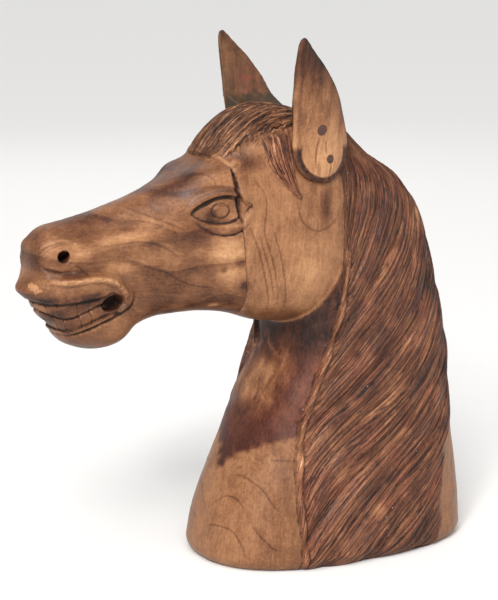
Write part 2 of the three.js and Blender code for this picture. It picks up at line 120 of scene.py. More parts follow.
HEAD_PUSHES = [
    ((-640, 0, 568), (40, 44, 18), (-28, 0, 0)),
    ((-620, 0, 530), (34, 60, 22), (-6, 0, 0)),
    ((-595, 62, 648), (46, 30, 20), (-2, 7, 3)),
    ((-590, 66, 628), (26, 24, 14), (0, -4, 0)),
    ((-556, 76, 588), (80, 40, 15), (0, 8, 0)),
    ((-565, 76, 611), (60, 40, 10), (0, -4, 0)),
    ((-452, 70, 548), (26, 50, 50), (0, -5, 0)),
    ((-400, 70, 655), (120, 40, 20), (0, 6, 0)),
    ((-385, 70, 588), (90, 40, 40), (0, -7, 0)),
    ((-318, 76, 752), (44, 44, 22), (-3, 11, 11)),
    ((-292, 104, 688), (66, 40, 34), (0, -3, 0)),
    ((-212, 100, 760), (40, 40, 32), (0, -6, 0)),
    ((-110, 116, 590), (95, 60, 105), (0, 8, 0)),
]
HEAD_RIB = through([
    (-622, 661, -594, 498, 56, 0.02, 2.4),
    (-600, 677, -570, 464, 68, -0.04, 2.4),
    (-555, 686, -519, 447, 74, -0.08, 2.3),
    (-508, 696, -466, 452, 70, -0.06, 2.3),
    (-466, 708, -430, 480, 66, 0.0, 2.3),
    (-424, 720, -388, 492, 69, 0.06, 2.3),
    (-377, 737, -339, 494, 78, 0.12, 2.4),
    (-335, 754, -290, 493, 92, 0.14, 2.5),
    (-296, 775, -237, 484, 104, 0.08, 2.7),
    (-254, 812, -186, 466, 111, 0.0, 2.8),
    (-201, 847, -131, 459, 116, -0.06, 2.9),
    (-130, 860, -80, 461, 118, -0.08, 3.0),
    (-66, 848, -44, 488, 117, -0.06, 3.0),
    (-24, 818, -16, 540, 108, 0.0, 2.8),
    (-8, 776, -4, 604, 84, 0.0, 2.4),
])
MUZZLE_DOME = 22


def pushed(points):
    moved = points.copy()
    for at, reach, push in HEAD_PUSHES:
        for side in ((1,) if at[1] == 0 else SIDES):
            place = np.array((at[0], side * at[1], at[2]))
            far = (((points - place) / reach) ** 2).sum(-1, keepdims=True)
            moved += np.array((push[0], side * push[1], push[2])) * np.exp(-far)
    return moved


def head_rings(grow=0.0, rings=210, around=280, dome=24):
    """Rings of points over the head, grown all round."""
    angle = math.pi / 2 * np.arange(1, dome + 1) / (dome + 1)
    t = np.concatenate([np.zeros(dome), np.linspace(0, 1, rings + 1)])
    share = np.concatenate([np.sin(angle) ** 0.8, np.ones(rings + 1)])[:, None]
    ahead = np.concatenate([MUZZLE_DOME * np.cos(angle), np.zeros(rings + 1)])[:, None, None]
    rib = HEAD_RIB(t)
    nought = np.zeros(len(t))
    top = np.stack([rib[:, 0], nought, rib[:, 1]], -1)
    bottom = np.stack([rib[:, 2], nought, rib[:, 3]], -1)
    reach = np.linalg.norm(top - bottom, axis=1)[:, None] / 2
    up = ((top - bottom) / (2 * reach))[:, None]
    forward = np.stack([-up[:, 0, 2], nought, up[:, 0, 0]], -1)[:, None]
    turn = 2 * math.pi * np.arange(around) / around
    square = 2 / rib[:, 6:7]
    rise = power(np.cos(turn), square)
    out = power(np.sin(turn), square) * (1 + rib[:, 5:6] * np.cos(turn))
    across = np.array((0, 1, 0))
    points = (top + bottom)[:, None] / 2 + up * (rise * reach * share)[..., None] + forward * ahead
    points = pushed(points + across * (out * rib[:, 4:5] * share)[..., None])
    outward = across * (out * share)[..., None] + up * (rise * share)[..., None]
    outward = outward + forward * (1 - share)[..., None]
    outward /= np.maximum(np.linalg.norm(outward, axis=-1, keepdims=True), 1e-9)
    return points + outward * grow


# The neck

NECK_LEVEL = by_height([
    (0, -294, 272, 190, 2.3, 3.0),
    (81, -279, 268, 186, 2.3, 3.0),
    (153, -253, 263, 178, 2.2, 2.9),
    (220, -221, 258, 168, 2.2, 2.8),
    (292, -189, 253, 157, 2.2, 2.7),
    (381, -149, 251, 146, 2.2, 2.6),
    (450, -130, 242, 137, 2.2, 2.5),
    (506, -122, 231, 130, 2.2, 2.4),
    (604, -118, 207, 118, 2.2, 2.3),
    (676, -116, 178, 108, 2.2, 2.2),
    (727, -112, 132, 97, 2.1, 2.1),
    (771, -104, 60, 84, 2.1, 2.1),
    (812, -92, 8, 64, 2.0, 2.0),
    (840, -84, -36, 40, 2.0, 2.0),
])
NECK_TOP = 828
FOOT_ROUNDING = 25
MANE_EDGE = by_height([
    (0, -158, -158),
    (106, -161, -161),
    (182, -157, -159),
    (275, -140, -152),
    (327, -115, -146),
    (416, -79, -132),
    (503, -50, -92),
    (597, -36, -46),
    (693, -38, -38),
    (840, -60, -60),
])
LOCK = 92
LOCK_ROW = LOCK / 3
MANE_COLUMNS = 16
LOCK_RISE = 8
MANE_RISE = 3
THROAT_COLUMNS = 6
NECK_STEP = 3.2
WORN_EDGE = [(0, 150), (100, 158), (190, 182), (240, 224), (290, 247)]


def worn(x, z, ragged=0):
    """Where the mane is rubbed smooth, along the foot of the crest."""
    edge = np.interp(z, *zip(*WORN_EDGE))
    return smooth(x + ragged - edge, -4, 6) * (1 - smooth(z, 268, 300))


def mane_lift(x, z, climb):
    ridge = np.abs(np.sin(math.pi * (z / LOCK_ROW - climb) / 3)) ** 0.8 - 0.6
    return (MANE_RISE + LOCK_RISE * ridge) * (1 - worn(x, z)) * smooth(climb, -0.5, 0.5)


def neck_half(z, side, inset, finer=8):
    level = NECK_LEVEL(z)
    front, rear, half, square_front, square_rear = (level[:, i:i + 1] for i in range(1, 6))
    edge = MANE_EDGE(z)[:, 1 if side < 0 else 2][:, None]
    edge_angle = np.arccos(np.clip(edge / front, 0, 1) ** (square_front / 2))
    climb = np.arange(0, (THROAT_COLUMNS + MANE_COLUMNS) * finer)[None] / finer - THROAT_COLUMNS
    throat = front * np.cos(edge_angle * np.clip(climb / THROAT_COLUMNS + 1, 0, 1)) ** (2 / square_front)
    turn = math.pi * np.clip(climb, 0, MANE_COLUMNS) / MANE_COLUMNS
    mane = edge + (rear - edge) * (1 - np.cos(turn)) / 2
    x = np.where(climb < 0, throat, mane)
    square = np.where(x < 0, square_front, square_rear)
    share = np.clip(x / np.where(x < 0, front, rear), 0, 1)
    y = half * np.clip(1 - share ** square, 0, 1) ** (1 / square)
    lift = mane_lift(x, z[:, None], climb) - inset[:, None]
    grown = 1 + lift / np.maximum(np.hypot(x, y), 30)
    return np.stack([x * grown, side * y * grown, np.broadcast_to(z[:, None], x.shape)], -1)


def neck_rings():
    angle = np.radians(np.linspace(12, 90, 12))
    foot = FOOT_ROUNDING * (1 - np.cos(angle))
    foot[0] = 0
    rise = np.arange(FOOT_ROUNDING + 3, NECK_TOP + 1, NECK_STEP)
    z = np.concatenate([foot, rise])
    inset = np.concatenate([FOOT_ROUNDING * (1 - np.sin(angle)), np.zeros(len(rise))])
    left = neck_half(z, -1, inset)
    right = neck_half(z, 1, inset)
    rear = NECK_LEVEL(z)[:, 2]
    crest = rear - inset + mane_lift(rear, z, MANE_COLUMNS)
    crest = np.stack([crest, np.zeros(len(z)), z], -1)[:, None]
    return np.concatenate([left, crest, right[:, :0:-1]], 1)


# Meshes

def add_mesh(name, points, faces):
    mesh = bpy.data.meshes.new(name)
    mesh.from_pydata((np.asarray(points) * UNIT).tolist(), [], faces)
    mesh.update()
    made = bpy.data.objects.new(name, mesh)
    bpy.context.scene.collection.objects.link(made)
    return made


def loft(name, rings):
    """A closed skin over rings of points, with a fan across each end."""
    count, around = rings.shape[:2]
    points = rings.reshape(-1, 3)
    index = np.arange(count * around).reshape(count, around)
    turned = np.roll(index, -1, 1)
    faces = np.stack([index[:-1], turned[:-1], turned[1:], index[1:]], -1).reshape(-1, 4)
    corners = points[faces]
    volume = np.einsum("ij,ij->", corners[:, 0], np.cross(corners[:, 1], corners[:, 2]))
    volume += np.einsum("ij,ij->", corners[:, 0], np.cross(corners[:, 2], corners[:, 3]))
    inside_out = volume < 0
    faces = faces.tolist()
    for row, first in ((0, True), (count - 1, False)):
        middle = len(points)
        points = np.vstack([points, points[index[row]].mean(0)])
        for near, next_one in zip(index[row], turned[row]):
            faces.append([middle, next_one, near] if first else [middle, near, next_one])
    if inside_out:
        faces = [list(reversed(face)) for face in faces]
    return add_mesh(name, points, faces)


def slab(name, outline, start=-FAR, end=FAR):
    """A slab across the horse, from an outline in the side view."""
    pairs = np.array(outline, float)
    x, z = pairs.T
    count = len(pairs)
    near, far = (np.stack([x, np.full(count, float(y)), z], -1) for y in (start, end))
    faces = [list(range(count)), list(range(2 * count - 1, count - 1, -1))]
    faces += [[i, i + count, (i + 1) % count + count, (i + 1) % count] for i in range(count)]
    twice = np.sum(x * np.roll(z, -1) - np.roll(x, -1) * z)
    if (twice > 0) != (end > start):
        faces = [face[::-1] for face in faces]
    return add_mesh(name, np.vstack([near, far]), faces)


def bar(name, start, end, diameter, around=40):
    """A round bar between two points."""
    start, end = np.array(start, float), np.array(end, float)
    way = (end - start) / np.linalg.norm(end - start)
    side = np.cross(way, (0, 0, 1))
    side /= np.linalg.norm(side)
    other = np.cross(way, side)
    turn = 2 * math.pi * np.arange(around)[:, None] / around
    circle = (np.cos(turn) * side + np.sin(turn) * other) * diameter / 2
    return loft(name, np.stack([start + circle, end + circle]))


def bake(made):
    """Puts an object's modifiers into its mesh."""
    bpy.context.view_layer.update()
    shown = made.evaluated_get(bpy.context.evaluated_depsgraph_get())
    mesh = bpy.data.meshes.new_from_object(shown)
    made.modifiers.clear()
    old, made.data = made.data, mesh
    bpy.data.meshes.remove(old)


def remove(made):
    mesh = made.data
    bpy.data.objects.remove(made)
    bpy.data.meshes.remove(mesh)


def combine(body, other, operation, keep=False):
    change = body.modifiers.new("combine", "BOOLEAN")
    change.object, change.operation, change.solver = other, operation, "MANIFOLD"
    bake(body)
    if not keep:
        remove(other)


def remesh(body, size):
    change = body.modifiers.new("remesh", "REMESH")
    change.mode, change.voxel_size = "VOXEL", size
    bake(body)


def copied(body, name):
    other = body.copy()
    other.data = body.data.copy()
    other.name = name
    bpy.context.scene.collection.objects.link(other)
    return other


def read(body):
    """Points and normals of a mesh, in thousandths of the height."""
    mesh = body.data
    points = np.empty(len(mesh.vertices) * 3, np.float32)
    normals = np.empty(len(mesh.vertices) * 3, np.float32)
    mesh.vertices.foreach_get("co", points)
    mesh.vertex_normals.foreach_get("vector", normals)
    return points.reshape(-1, 3).astype(float) / UNIT, normals.reshape(-1, 3).astype(float)


def write(body, points):
    body.data.vertices.foreach_set("co", (points * UNIT).astype(np.float32).ravel())
    body.data.update()


def soften(body, times, where=None):
    """Evens a mesh out by moving each point towards the middle of its neighbours."""
    mesh = body.data
    edges = np.empty(len(mesh.edges) * 2, np.int32)
    mesh.edges.foreach_get("vertices", edges)
    one, two = edges.reshape(-1, 2).T
    points, _ = read(body)
    count = len(points)
    degree = np.bincount(one, minlength=count) + np.bincount(two, minlength=count)
    strength = 0.5 if where is None else 0.5 * where
    for _ in range(times):
        for axis in range(3):
            column = points[:, axis]
            total = np.bincount(one, column[two], count) + np.bincount(two, column[one], count)
            points[:, axis] = column + strength * (total / degree - column)
    write(body, points)


# Strokes of the carving

def beside(points, path, within, steps=40):
    """How far points lie beside a curve, in the side view or in space, and how far along it they are."""
    curve = through(path)(np.linspace(0, 1, steps + 1))
    flat = curve.shape[1] == 2
    mirrored = points * (1, 0, 1) + np.abs(points) * (0, 1, 0)
    spots = mirrored[:, (0, 2)] if flat else mirrored
    low, high = curve.min(0) - within, curve.max(0) + within
    near = np.flatnonzero(((spots > low) & (spots < high)).all(1))
    far = np.full(len(points), 1e3)
    along = np.zeros(len(points))
    if len(near) == 0:
        return far, along
    spots = spots[near]
    best = np.full(len(near), 1e3)
    signed = np.full(len(near), 1e3)
    place = np.zeros(len(near))
    for i in range(steps):
        way = curve[i + 1] - curve[i]
        offset = spots - curve[i]
        share = np.clip(offset @ way / (way @ way), 0, 1)
        away = offset - share[:, None] * way
        distance = np.linalg.norm(away, axis=1)
        better = distance < best
        best[better] = distance[better]
        place[better] = (i + share[better]) / steps
        if flat:
            turn = way[0] * offset[:, 1] - way[1] * offset[:, 0]
            signed[better] = np.where(turn[better] < 0, -distance[better], distance[better])
        else:
            signed[better] = distance[better]
    far[near] = signed
    along[near] = place
    return far, along


def stroke(points, path, width, height, side=0, blunt=0.25):
    """The height of a rounded line along a path, thinning to its ends, on one side of the horse or both."""
    far, along = beside(points, path, width)
    profile = np.clip(1 - (2 * far / width) ** 2, 0, 1)
    ends = np.clip(np.minimum(along, 1 - along) / blunt, 0, 1) ** 0.5 if blunt else 1
    lift = height * profile * ends
    if side:
        lift = lift * (points[:, 1] * side > 0)
    return lift


def inside(points, outline):
    """True for points within an outline in the side view."""
    x, z = points[:, 0], points[:, 2]
    within = np.zeros(len(points), bool)
    for (ax, az), (bx, bz) in zip(outline, outline[1:] + outline[:1]):
        crosses = (az > z) != (bz > z)
        within ^= crosses & (x < (bx - ax) * (z - az) / (bz - az + 1e-12) + ax)
    return within


LIP = [(-618, 590), (-601, 587), (-571, 588), (-544, 589), (-519, 586), (-497, 577), (-478, 562),
       (-464, 545)]
UPPER_LID = [(-345, 700), (-325, 713), (-300, 722), (-272, 723), (-250, 715), (-230, 698)]
LOWER_LID = [(-345, 681), (-327, 669), (-308, 661), (-288, 657), (-266, 659), (-248, 667), (-232, 682)]
UNDER_LID = [(-345, 676), (-327, 661), (-311, 652), (-290, 647), (-268, 648), (-251, 656), (-234, 670)]
UNDER_NOSTRIL = [(-629, 617), (-621, 610), (-605, 605), (-589, 603), (-572, 604)]
EYE = [(-347, 688), (-330, 700), (-305, 712), (-280, 716), (-255, 711), (-230, 693), (-246, 680),
       (-270, 672), (-295, 669), (-325, 676)]
EYE_MIDDLE = (-293, 692)
EYE_DEPTH = 3 * MM
EYE_SIDE = 60  # the marks round an eye lie farther out than this
EYEBALL = (52, 12 * MM, 34)  # half its length, depth and height
EYEBALL_INSET = 12.4 * MM
EYEBALL_LEAN = 0.2
IRIS = (-292, 692, 17, 14)  # x, z and reach along both
MOUTH = [(-720, 552), (-636, 549), (-602, 546), (-565, 549), (-520, 553), (-500, 560), (-476, 548),
         (-470, 534), (-482, 522), (-515, 516), (-548, 503), (-581, 492), (-605, 496), (-640, 504),
         (-720, 500)]
MOUTH_CORNER = (-498, 538)
MOUTH_CORNER_OVAL = (46, 27, 8)  # length, height and lean in degrees
MOUTH_CORNER_DEPTH = 15 * MM
MOUTH_CORNER_RIM = 66
TEETH_DEPTH = 3.4 * MM
TOOTH_HEIGHT = 24
LAST_TOOTH = -505
MUZZLE_MIDDLE = -560
NOSTRIL = (-589, 630)
NOSTRIL_BORE = 10.5 * MM
NOSTRIL_DEPTH = 20 * MM
# the inside of the bore is painted dark, as shade, out to this far
NOSTRIL_RIM = 60  # how far out the inside of the bore is dark
NOSTRIL_WAY = (0.35, -1, 0.1)  # how the bore runs in on the right, mirrored on the left
BITE = [(-6, 530), (25, 526), (45, 518), (60, 515), (80, 518), (98, 526), (116, 537), (140, 540)]
# how far round the muzzle the gaps between teeth lie, in degrees, at the bite and at the lip
UPPER_GAPS = [(0, 0), (35, 31), (58, 50), (86, 83), (104, 102)]
LOWER_GAPS = [(13, 16), (38, 47), (60, 67), (88, 95), (104, 110)]
CHEEK_SIDE = 50  # the seam's wedge and the cheek's lines lie farther out than this
LOWER_LIP_GROOVE = [(-590, 480), (-571, 486), (-547, 495), (-518, 506), (-488, 516), (-458, 527),
                    (-450, 545), (-456, 562)]
GLUE_LINE = [(-222, 430), (-231, 505), (-245, 591), (-256, 686), (-262, 757), (-292, 797), (-340, 840)]
GLUE_GAP = 0.4 * MM
FACE_REACH = 1500  # well ahead of the face
SEAM_WEDGE = [(-263, 764), (-261, 742), (-257, 712), (-255, 688), (-253, 670)]
FORELOCK = [(-290, 20), (-286, 40), (-273, 58), (-258, 66), (-236, 73), (-210, 78), (-182, 81), (-152, 82),
            (-122, 82), (-96, 80), (-70, 74)]
FORELOCK_RISE = 16
TRESS = [(-172, 824), (-171, 800), (-169, 775), (-160, 746), (-149, 724), (-135, 704)]
TRESS_HALF = [29, 28, 24, 17, 9.5, 2]
TRESS_SIDE = 60
EYE_TOP = [(-349, 687), (-330, 701), (-305, 713), (-280, 717), (-257, 712)]
EYE_BOTTOM = [(-347, 687), (-325, 676), (-295, 669), (-270, 672), (-254, 680)]
EYE_CORNER = [(-250, 711), (-243, 706), (-234, 698), (-241, 689), (-248, 680)]
ABOVE_LIP = [(-632, 606), (-605, 600), (-575, 600), (-545, 603), (-515, 603), (-492, 594), (-474, 578),
             (-460, 556)]
LIP_CHIP = [(-642, 582), (-635, 574), (-630, 566)]
FACE_RIDGE = [(-566, 648), (-530, 652), (-498, 652), (-460, 652), (-420, 655), (-385, 662)]
TEETH_FOOT = [(-640, 505), (-605, 497), (-581, 493), (-548, 504), (-515, 517), (-488, 521)]
NOSTRIL_ARC = [(-631, 622), (-626, 636), (-616, 646), (-603, 652), (-586, 655), (-566, 650)]
MUZZLE_FRONT = [(-614, 672), (-626, 650), (-634, 626), (-628, 604)]
FILLER = [(-288, 777), (-276, 785), (-264, 772), (-253, 779), (-244, 768)]
CHEEK_LINES = [
    [(-223, 744), (-207, 715), (-207, 690), (-212, 653), (-204, 623), (-194, 592), (-185, 557),
     (-171, 503)],
    [(-241, 662), (-230, 636), (-219, 605), (-207, 562), (-194, 522), (-188, 495)],
    [(-193, 652), (-182, 614), (-173, 576), (-164, 536), (-157, 497)],
    [(-222, 646), (-210, 608), (-198, 570), (-182, 512)],
    [(-144, 705), (-142, 694), (-139, 674), (-131, 659), (-106, 643), (-79, 648), (-59, 663),
     (-49, 685)],
    [(-32, 532), (-43, 506), (-68, 484)],
]
FACE_LINES = [
    [(-454, 704), (-432, 694), (-406, 683), (-382, 672), (-361, 662)],
    [(-520, 640), (-480, 644), (-442, 645), (-404, 635), (-368, 613)],
    [(-346, 742), (-330, 756), (-312, 757), (-300, 744), (-306, 730)],
    [(-440, 600), (-400, 590), (-350, 560), (-300, 548)],
    [(-570, 616), (-556, 604), (-548, 590)],
]
THROAT_MARK = [(-130, 2, 442), (-134, 5, 425), (-139, 12, 411), (-139, 35, 399), (-137, 53, 392)]
NECK_LINES = [
    [(-279, 5, 98), (-270, 10, 106), (-262, 30, 122), (-253, 50, 134), (-243, 79, 127), (-232, 115, 82),
     (-218, 132, 60), (-205, 143, 46), (-190, 150, 44), (-170, 158, 52)],
    [(-236, 45, 170), (-229, 67, 174), (-211, 106, 155), (-197, 130, 124), (-175, 145, 112),
     (-156, 153, 125)],
    [(-280, 20, 72), (-276, 40, 77), (-264, 76, 76), (-255, 98, 57), (-250, 109, 30)],
    [(-208, 76, 207), (-180, 110, 208), (-147, 138, 210)],
    [(-246, 40, 178), (-214, 64, 196), (-208, 76, 200)],
]
EAR_CRACKS = [
    [(-106, 818), (-109, 801), (-111, 778), (-111, 761)],
    [(-78, 768), (-79, 756), (-82, 744)],
    [(-92, 812), (-90, 798), (-88, 786)],
]
UPPER_LIP_EDGE = [(-646, 553), (-633, 548), (-602, 546), (-565, 549), (-530, 552)]
FORELOCK_FOOT = 740
MANE_EDGE_SIDE = 20
# how far behind the mane's front edge a line lies, how wide it is, and up to which height it goes
OUTER_GROOVE = (-1.5, 2.2, 690)
# the pale strip is a painted highlight on the raised edge between the grooves
EDGE_STRIP = (5.5, 4, 600)
INNER_GROOVE = (13, 3, 600)
# painted shade in the inner groove
INNER_GROOVE_SHADE = (13, 2.6, 600)
CALM_FOOT = (0, 10)  # the heights over which carving fades in above the underside

# path, width and height of the larger forms
ROUGH_STROKES = [
    (LIP, 17, 6.5),
    (ABOVE_LIP, 16, -4),
    (FACE_RIDGE, 34, 4.5),
    (UPPER_LID, 14, 5),
    (LOWER_LID, 12, 3.5),
    (FILLER, 10, 2.5),
]
# path, width and depth of the carved grooves, width and strength of the painted shade in them
GROOVES = [
    (UNDER_LID, 6, 3.4, 6, 0.9),
    (UNDER_NOSTRIL, 8, 3.6, 8, 0.7),
    (NOSTRIL_ARC, 9, 2.6, 8, 0.55),
    (LOWER_LIP_GROOVE, 8, 3.4, 9, 0.9),
    (EYE_TOP, 7, 3.5, 11, 1.1),
    (EYE_BOTTOM, 4, 1.6, 6, 0.8),
]


def bite_place(points):
    """How far round the muzzle points are, in degrees, the bite's height there, and a mask of the teeth."""
    turn = np.degrees(np.arctan2(np.abs(points[:, 1]), -(points[:, 0] - MUZZLE_MIDDLE)))
    bite = np.interp(turn, *zip(*BITE))
    return turn, bite, inside(points, MOUTH) & (points[:, 0] < LAST_TOOTH)


def tooth_gaps(points, turn, bite):
    """For each gap between teeth, how far beside it points lie, in degrees, and a mask of its row."""
    rise = points[:, 2] - bite
    share = np.clip(np.abs(rise) / TOOTH_HEIGHT, 0, 1)
    for gaps, row in ((UPPER_GAPS, rise > 0), (LOWER_GAPS, rise < 0)):
        for at_bite, at_lip in gaps:
            yield turn - (at_bite + (at_lip - at_bite) * share), row


def outward(x, z, spot):
    """How far out from the middle of an oval spot, 1 on its rim."""
    at_x, at_z, wide, high = spot
    return np.hypot((x - at_x) / wide, (z - at_z) / high)


def eye_rings(points):
    """How far out points lie from an eye's middle, 1 on the rim of the iris, and a mask of the eye."""
    x, y, z = points.T
    return outward(x, z, IRIS), inside(points, EYE) & (np.abs(y) > EYE_SIDE)


def wedge_place(points):
    """How far points lie beside the open wedge in the seam above an eye, and half its width there."""
    x, _, z = points.T
    far, along = beside(points, SEAM_WEDGE, 14)
    ragged = 1 + 0.3 * cloud(x / 5, z / 5, 0.5)
    return np.abs(far + 1), np.interp(along, (0, 0.3, 0.6, 1), (2, 6, 5.5, 1.5)) * ragged


def edge_line(points, behind, line):
    """A soft line along the mane's front edge."""
    _, y, z = points.T
    at, wide, top = line
    return np.exp(-((behind - at) / wide) ** 2) * (z < top) * (np.abs(y) > MANE_EDGE_SIDE)


def forelock_place(points):
    """How far along the forelock points are, and how far across it, from -1 to 1."""
    t = np.linspace(0, 1, 200)
    table = through(FORELOCK)(t)
    place = np.interp(points[:, 0], table[:, 0], t, left=-1, right=2)
    half = np.interp(points[:, 0], table[:, 0], table[:, 1])
    return place, points[:, 1] / np.maximum(half, 1)


def frayed(points):
    """How far out the forelock's lower edge reaches at each place along it, about 1."""
    return 1 + 0.12 * cloud(points[:, 0] / 5.5, 3.5 + np.sign(points[:, 1]), 0.5)


def forelock_mask(points, normals, place, across, facing, fray):
    """A mask of the forelock, whose points face up and lie within its frayed edge."""
    top = smooth(normals[:, 2], *facing) * (points[:, 2] > FORELOCK_FOOT)
    return top * (place >= 0) * (place <= 1) * smooth(frayed(points) - np.abs(across), *fray)


def forelock_strand(points, place, across):
    """The number of the strand a point lies on, counted from the parting."""
    x = points[:, 0]
    wander = 0.8 * cloud(across * 2.5 + 9, x / 220, 0.5) + 0.2 * cloud(across * 6 + 3, x / 90, 5.5)
    return np.abs(across) * 7 * (1 + 1.0 * np.clip(place, 0, 1)) + wander


def mane_place(points, side):
    """The climb of points in the mane, from its front edge to the crest."""
    x, z = points[:, 0], points[:, 2]
    edges = MANE_EDGE(z)
    edge = np.where(side < 0, edges[:, 1], edges[:, 2])
    _, _, rear, half, _, square = NECK_LEVEL(z).T
    rear = np.maximum(rear, edge + 40)
    flank = np.clip(np.abs(points[:, 1]) / half, 0, 1)
    round_back = rear * (1 - flank ** square) ** (1 / square)
    backward = smooth(x / rear, 0.72, 0.92)
    share = np.clip((x + (round_back - x) * backward - edge) / (rear - edge), 0, 1)
    climb = MANE_COLUMNS * np.arccos(1 - 2 * share) / math.pi
    return climb, x - edge


def mane_strand(points, climb):
    """The number of the strand a point lies on, counted up the neck."""
    lock = (points[:, 2] / LOCK_ROW - climb) / 3
    flank = 4 * np.sign(points[:, 1])
    wander = 0.9 * cloud(lock * 1.1, climb / 4, flank + 0.5)
    wander += 0.4 * cloud(lock * 2.7, climb / 3, flank + 9.5)
    return lock * 5 + wander + 0.3 * cloud(lock * 7, climb / 5, flank + 17.5)


def strand_ends(strand, side):
    """How far short of the rubbed strip each strand stops."""
    return 9 * cloud(strand * 1.1, side, 3.5) + 5 * cloud(strand * 2.9, side, 8.5)


def chance(strand, salt=0):
    """A number from -1 to 1 for each strand."""
    whole = np.floor(strand).astype(int)
    cell = (whole, whole // LATTICE_SIZE + salt, whole * 7 + salt)
    return LATTICE[tuple(c % LATTICE_SIZE for c in cell)]


def comb(strand, sharp=0.6):
    """The height of combed hair from 0 in a groove to 1 on a strand."""
    return np.abs(np.sin(math.pi * strand)) ** sharp


def grounded(points):
    """The same points with the underside kept in its plane."""
    points[:, 2] = np.where(points[:, 2] < 0.9, 0, points[:, 2])
    return points


def tress_place(points, fringe):
    """The tress ahead of an ear: a mask, the number of the strand, and how far the tress swells."""
    side = np.sign(points[:, 1])
    far, along = beside(points, TRESS, 34)
    half = np.interp(along, np.linspace(0, 1, len(TRESS_HALF)), TRESS_HALF)
    on = smooth(half - np.abs(far), 0, 2) * smooth(along, 0, 0.08) * (np.abs(points[:, 1]) > TRESS_SIDE)
    strand = far / half * 2.6 + 0.5 * cloud(far / 12, along * 2.5, side * 3 + 1.5)
    swell = np.sqrt(np.clip(1 - (far / half) ** 2, 0, 1)) * smooth(along, 0, 0.12)
    return on * (1 - fringe), strand, swell


def rough_in(body):
    """The larger forms on the plain head and neck."""
    points, normals = read(body)
    place, across = forelock_place(points)
    on_top = smooth(normals[:, 2], 0.05, 0.3) * (points[:, 2] > 735)
    edge = np.sqrt(np.clip(1 - (across / frayed(points)) ** 8, 0, 1))
    edge *= np.clip(place * 2.5 + 0.06, 0, 1) * np.clip((1 - place) * 3, 0, 1) * (place >= 0) * (place <= 1)
    locks = 0.62 + 0.38 * comb(forelock_strand(points, place, across) / 3.3 + 0.4, 0.8)
    points[:, 2] += FORELOCK_RISE * locks * edge * on_top
    lift = np.zeros(len(points))
    for path, width, height in ROUGH_STROKES:
        lift += stroke(points, path, width, height)
    on_tress, _, swell = tress_place(points, 0)
    lift += 5 * swell * on_tress
    write(body, grounded(points + normals * (lift * smooth(points[:, 2], *CALM_FOOT))[:, None]))


def struck(skin, x, z, side):
    """Where a line that comes in from one side meets a skin."""
    hit = skin.ray_cast(Vector((x, side * FAR, z)) * UNIT, Vector((0, -side, 0)))[0]
    return np.array(hit) / UNIT


def skin_of(body):
    return BVHTree.FromObject(body, bpy.context.evaluated_depsgraph_get())


def leaned(one, two, angle):
    """Two coordinates after a turn in their plane."""
    return one * math.cos(angle) - two * math.sin(angle), one * math.sin(angle) + two * math.cos(angle)


def eyeball(place, side):
    """A flat ball that leans with the face."""
    length, depth, height = EYEBALL
    turn, rise = np.meshgrid(np.linspace(0, 2 * math.pi, 41)[:-1], np.linspace(-1.5, 1.5, 24))
    ahead, across = length * np.cos(rise) * np.cos(turn), depth * np.cos(rise) * np.sin(turn)
    ahead, across = leaned(ahead, across, side * EYEBALL_LEAN)
    return loft("eyeball", np.stack([ahead, across, height * np.sin(rise)], -1) + place)


def mouth_corner(depth, side):
    """The oval bore in a corner of the mouth."""
    length, height, lean = MOUTH_CORNER_OVAL
    turn = np.linspace(0, 2 * math.pi, 33)[:-1]
    oval = leaned(length / 2 * np.cos(turn), height / 2 * np.sin(turn), math.radians(lean))
    outline = np.stack(oval, -1) + MOUTH_CORNER
    return slab("corner", outline, side * FAR, depth - side * MOUTH_CORNER_DEPTH)


def build_bust():
    bust = loft("bust", head_rings())
    head = copied(bust, "head")
    combine(bust, loft("neck", neck_rings()), "UNION")
    remesh(bust, COARSE)
    rough_in(bust)
    skin = skin_of(head)
    remove(head)
    for outline, depth in ((MOUTH, TEETH_DEPTH), (EYE, EYE_DEPTH)):
        opening = slab("opening", outline)
        combine(opening, loft("opening_floor", head_rings(-depth)), "DIFFERENCE")
        combine(bust, opening, "DIFFERENCE")
    for side in SIDES:
        x, z = EYE_MIDDLE
        middle = struck(skin, x, z, side)[1] - side * EYEBALL_INSET
        combine(bust, eyeball((x, middle, z), side), "UNION")
        combine(bust, mouth_corner(struck(skin, *MOUTH_CORNER, side)[1], side), "DIFFERENCE")
        hole = struck(skin, *NOSTRIL, side)
        way = np.array(NOSTRIL_WAY) * (1, side, 1)
        way /= np.linalg.norm(way)
        bore = bar("nostril", hole - way * BORE_START, hole + way * NOSTRIL_DEPTH, NOSTRIL_BORE)
        combine(bust, bore, "DIFFERENCE")
    remesh(bust, FINE)
    soften(bust, 2)
    return bust, skin


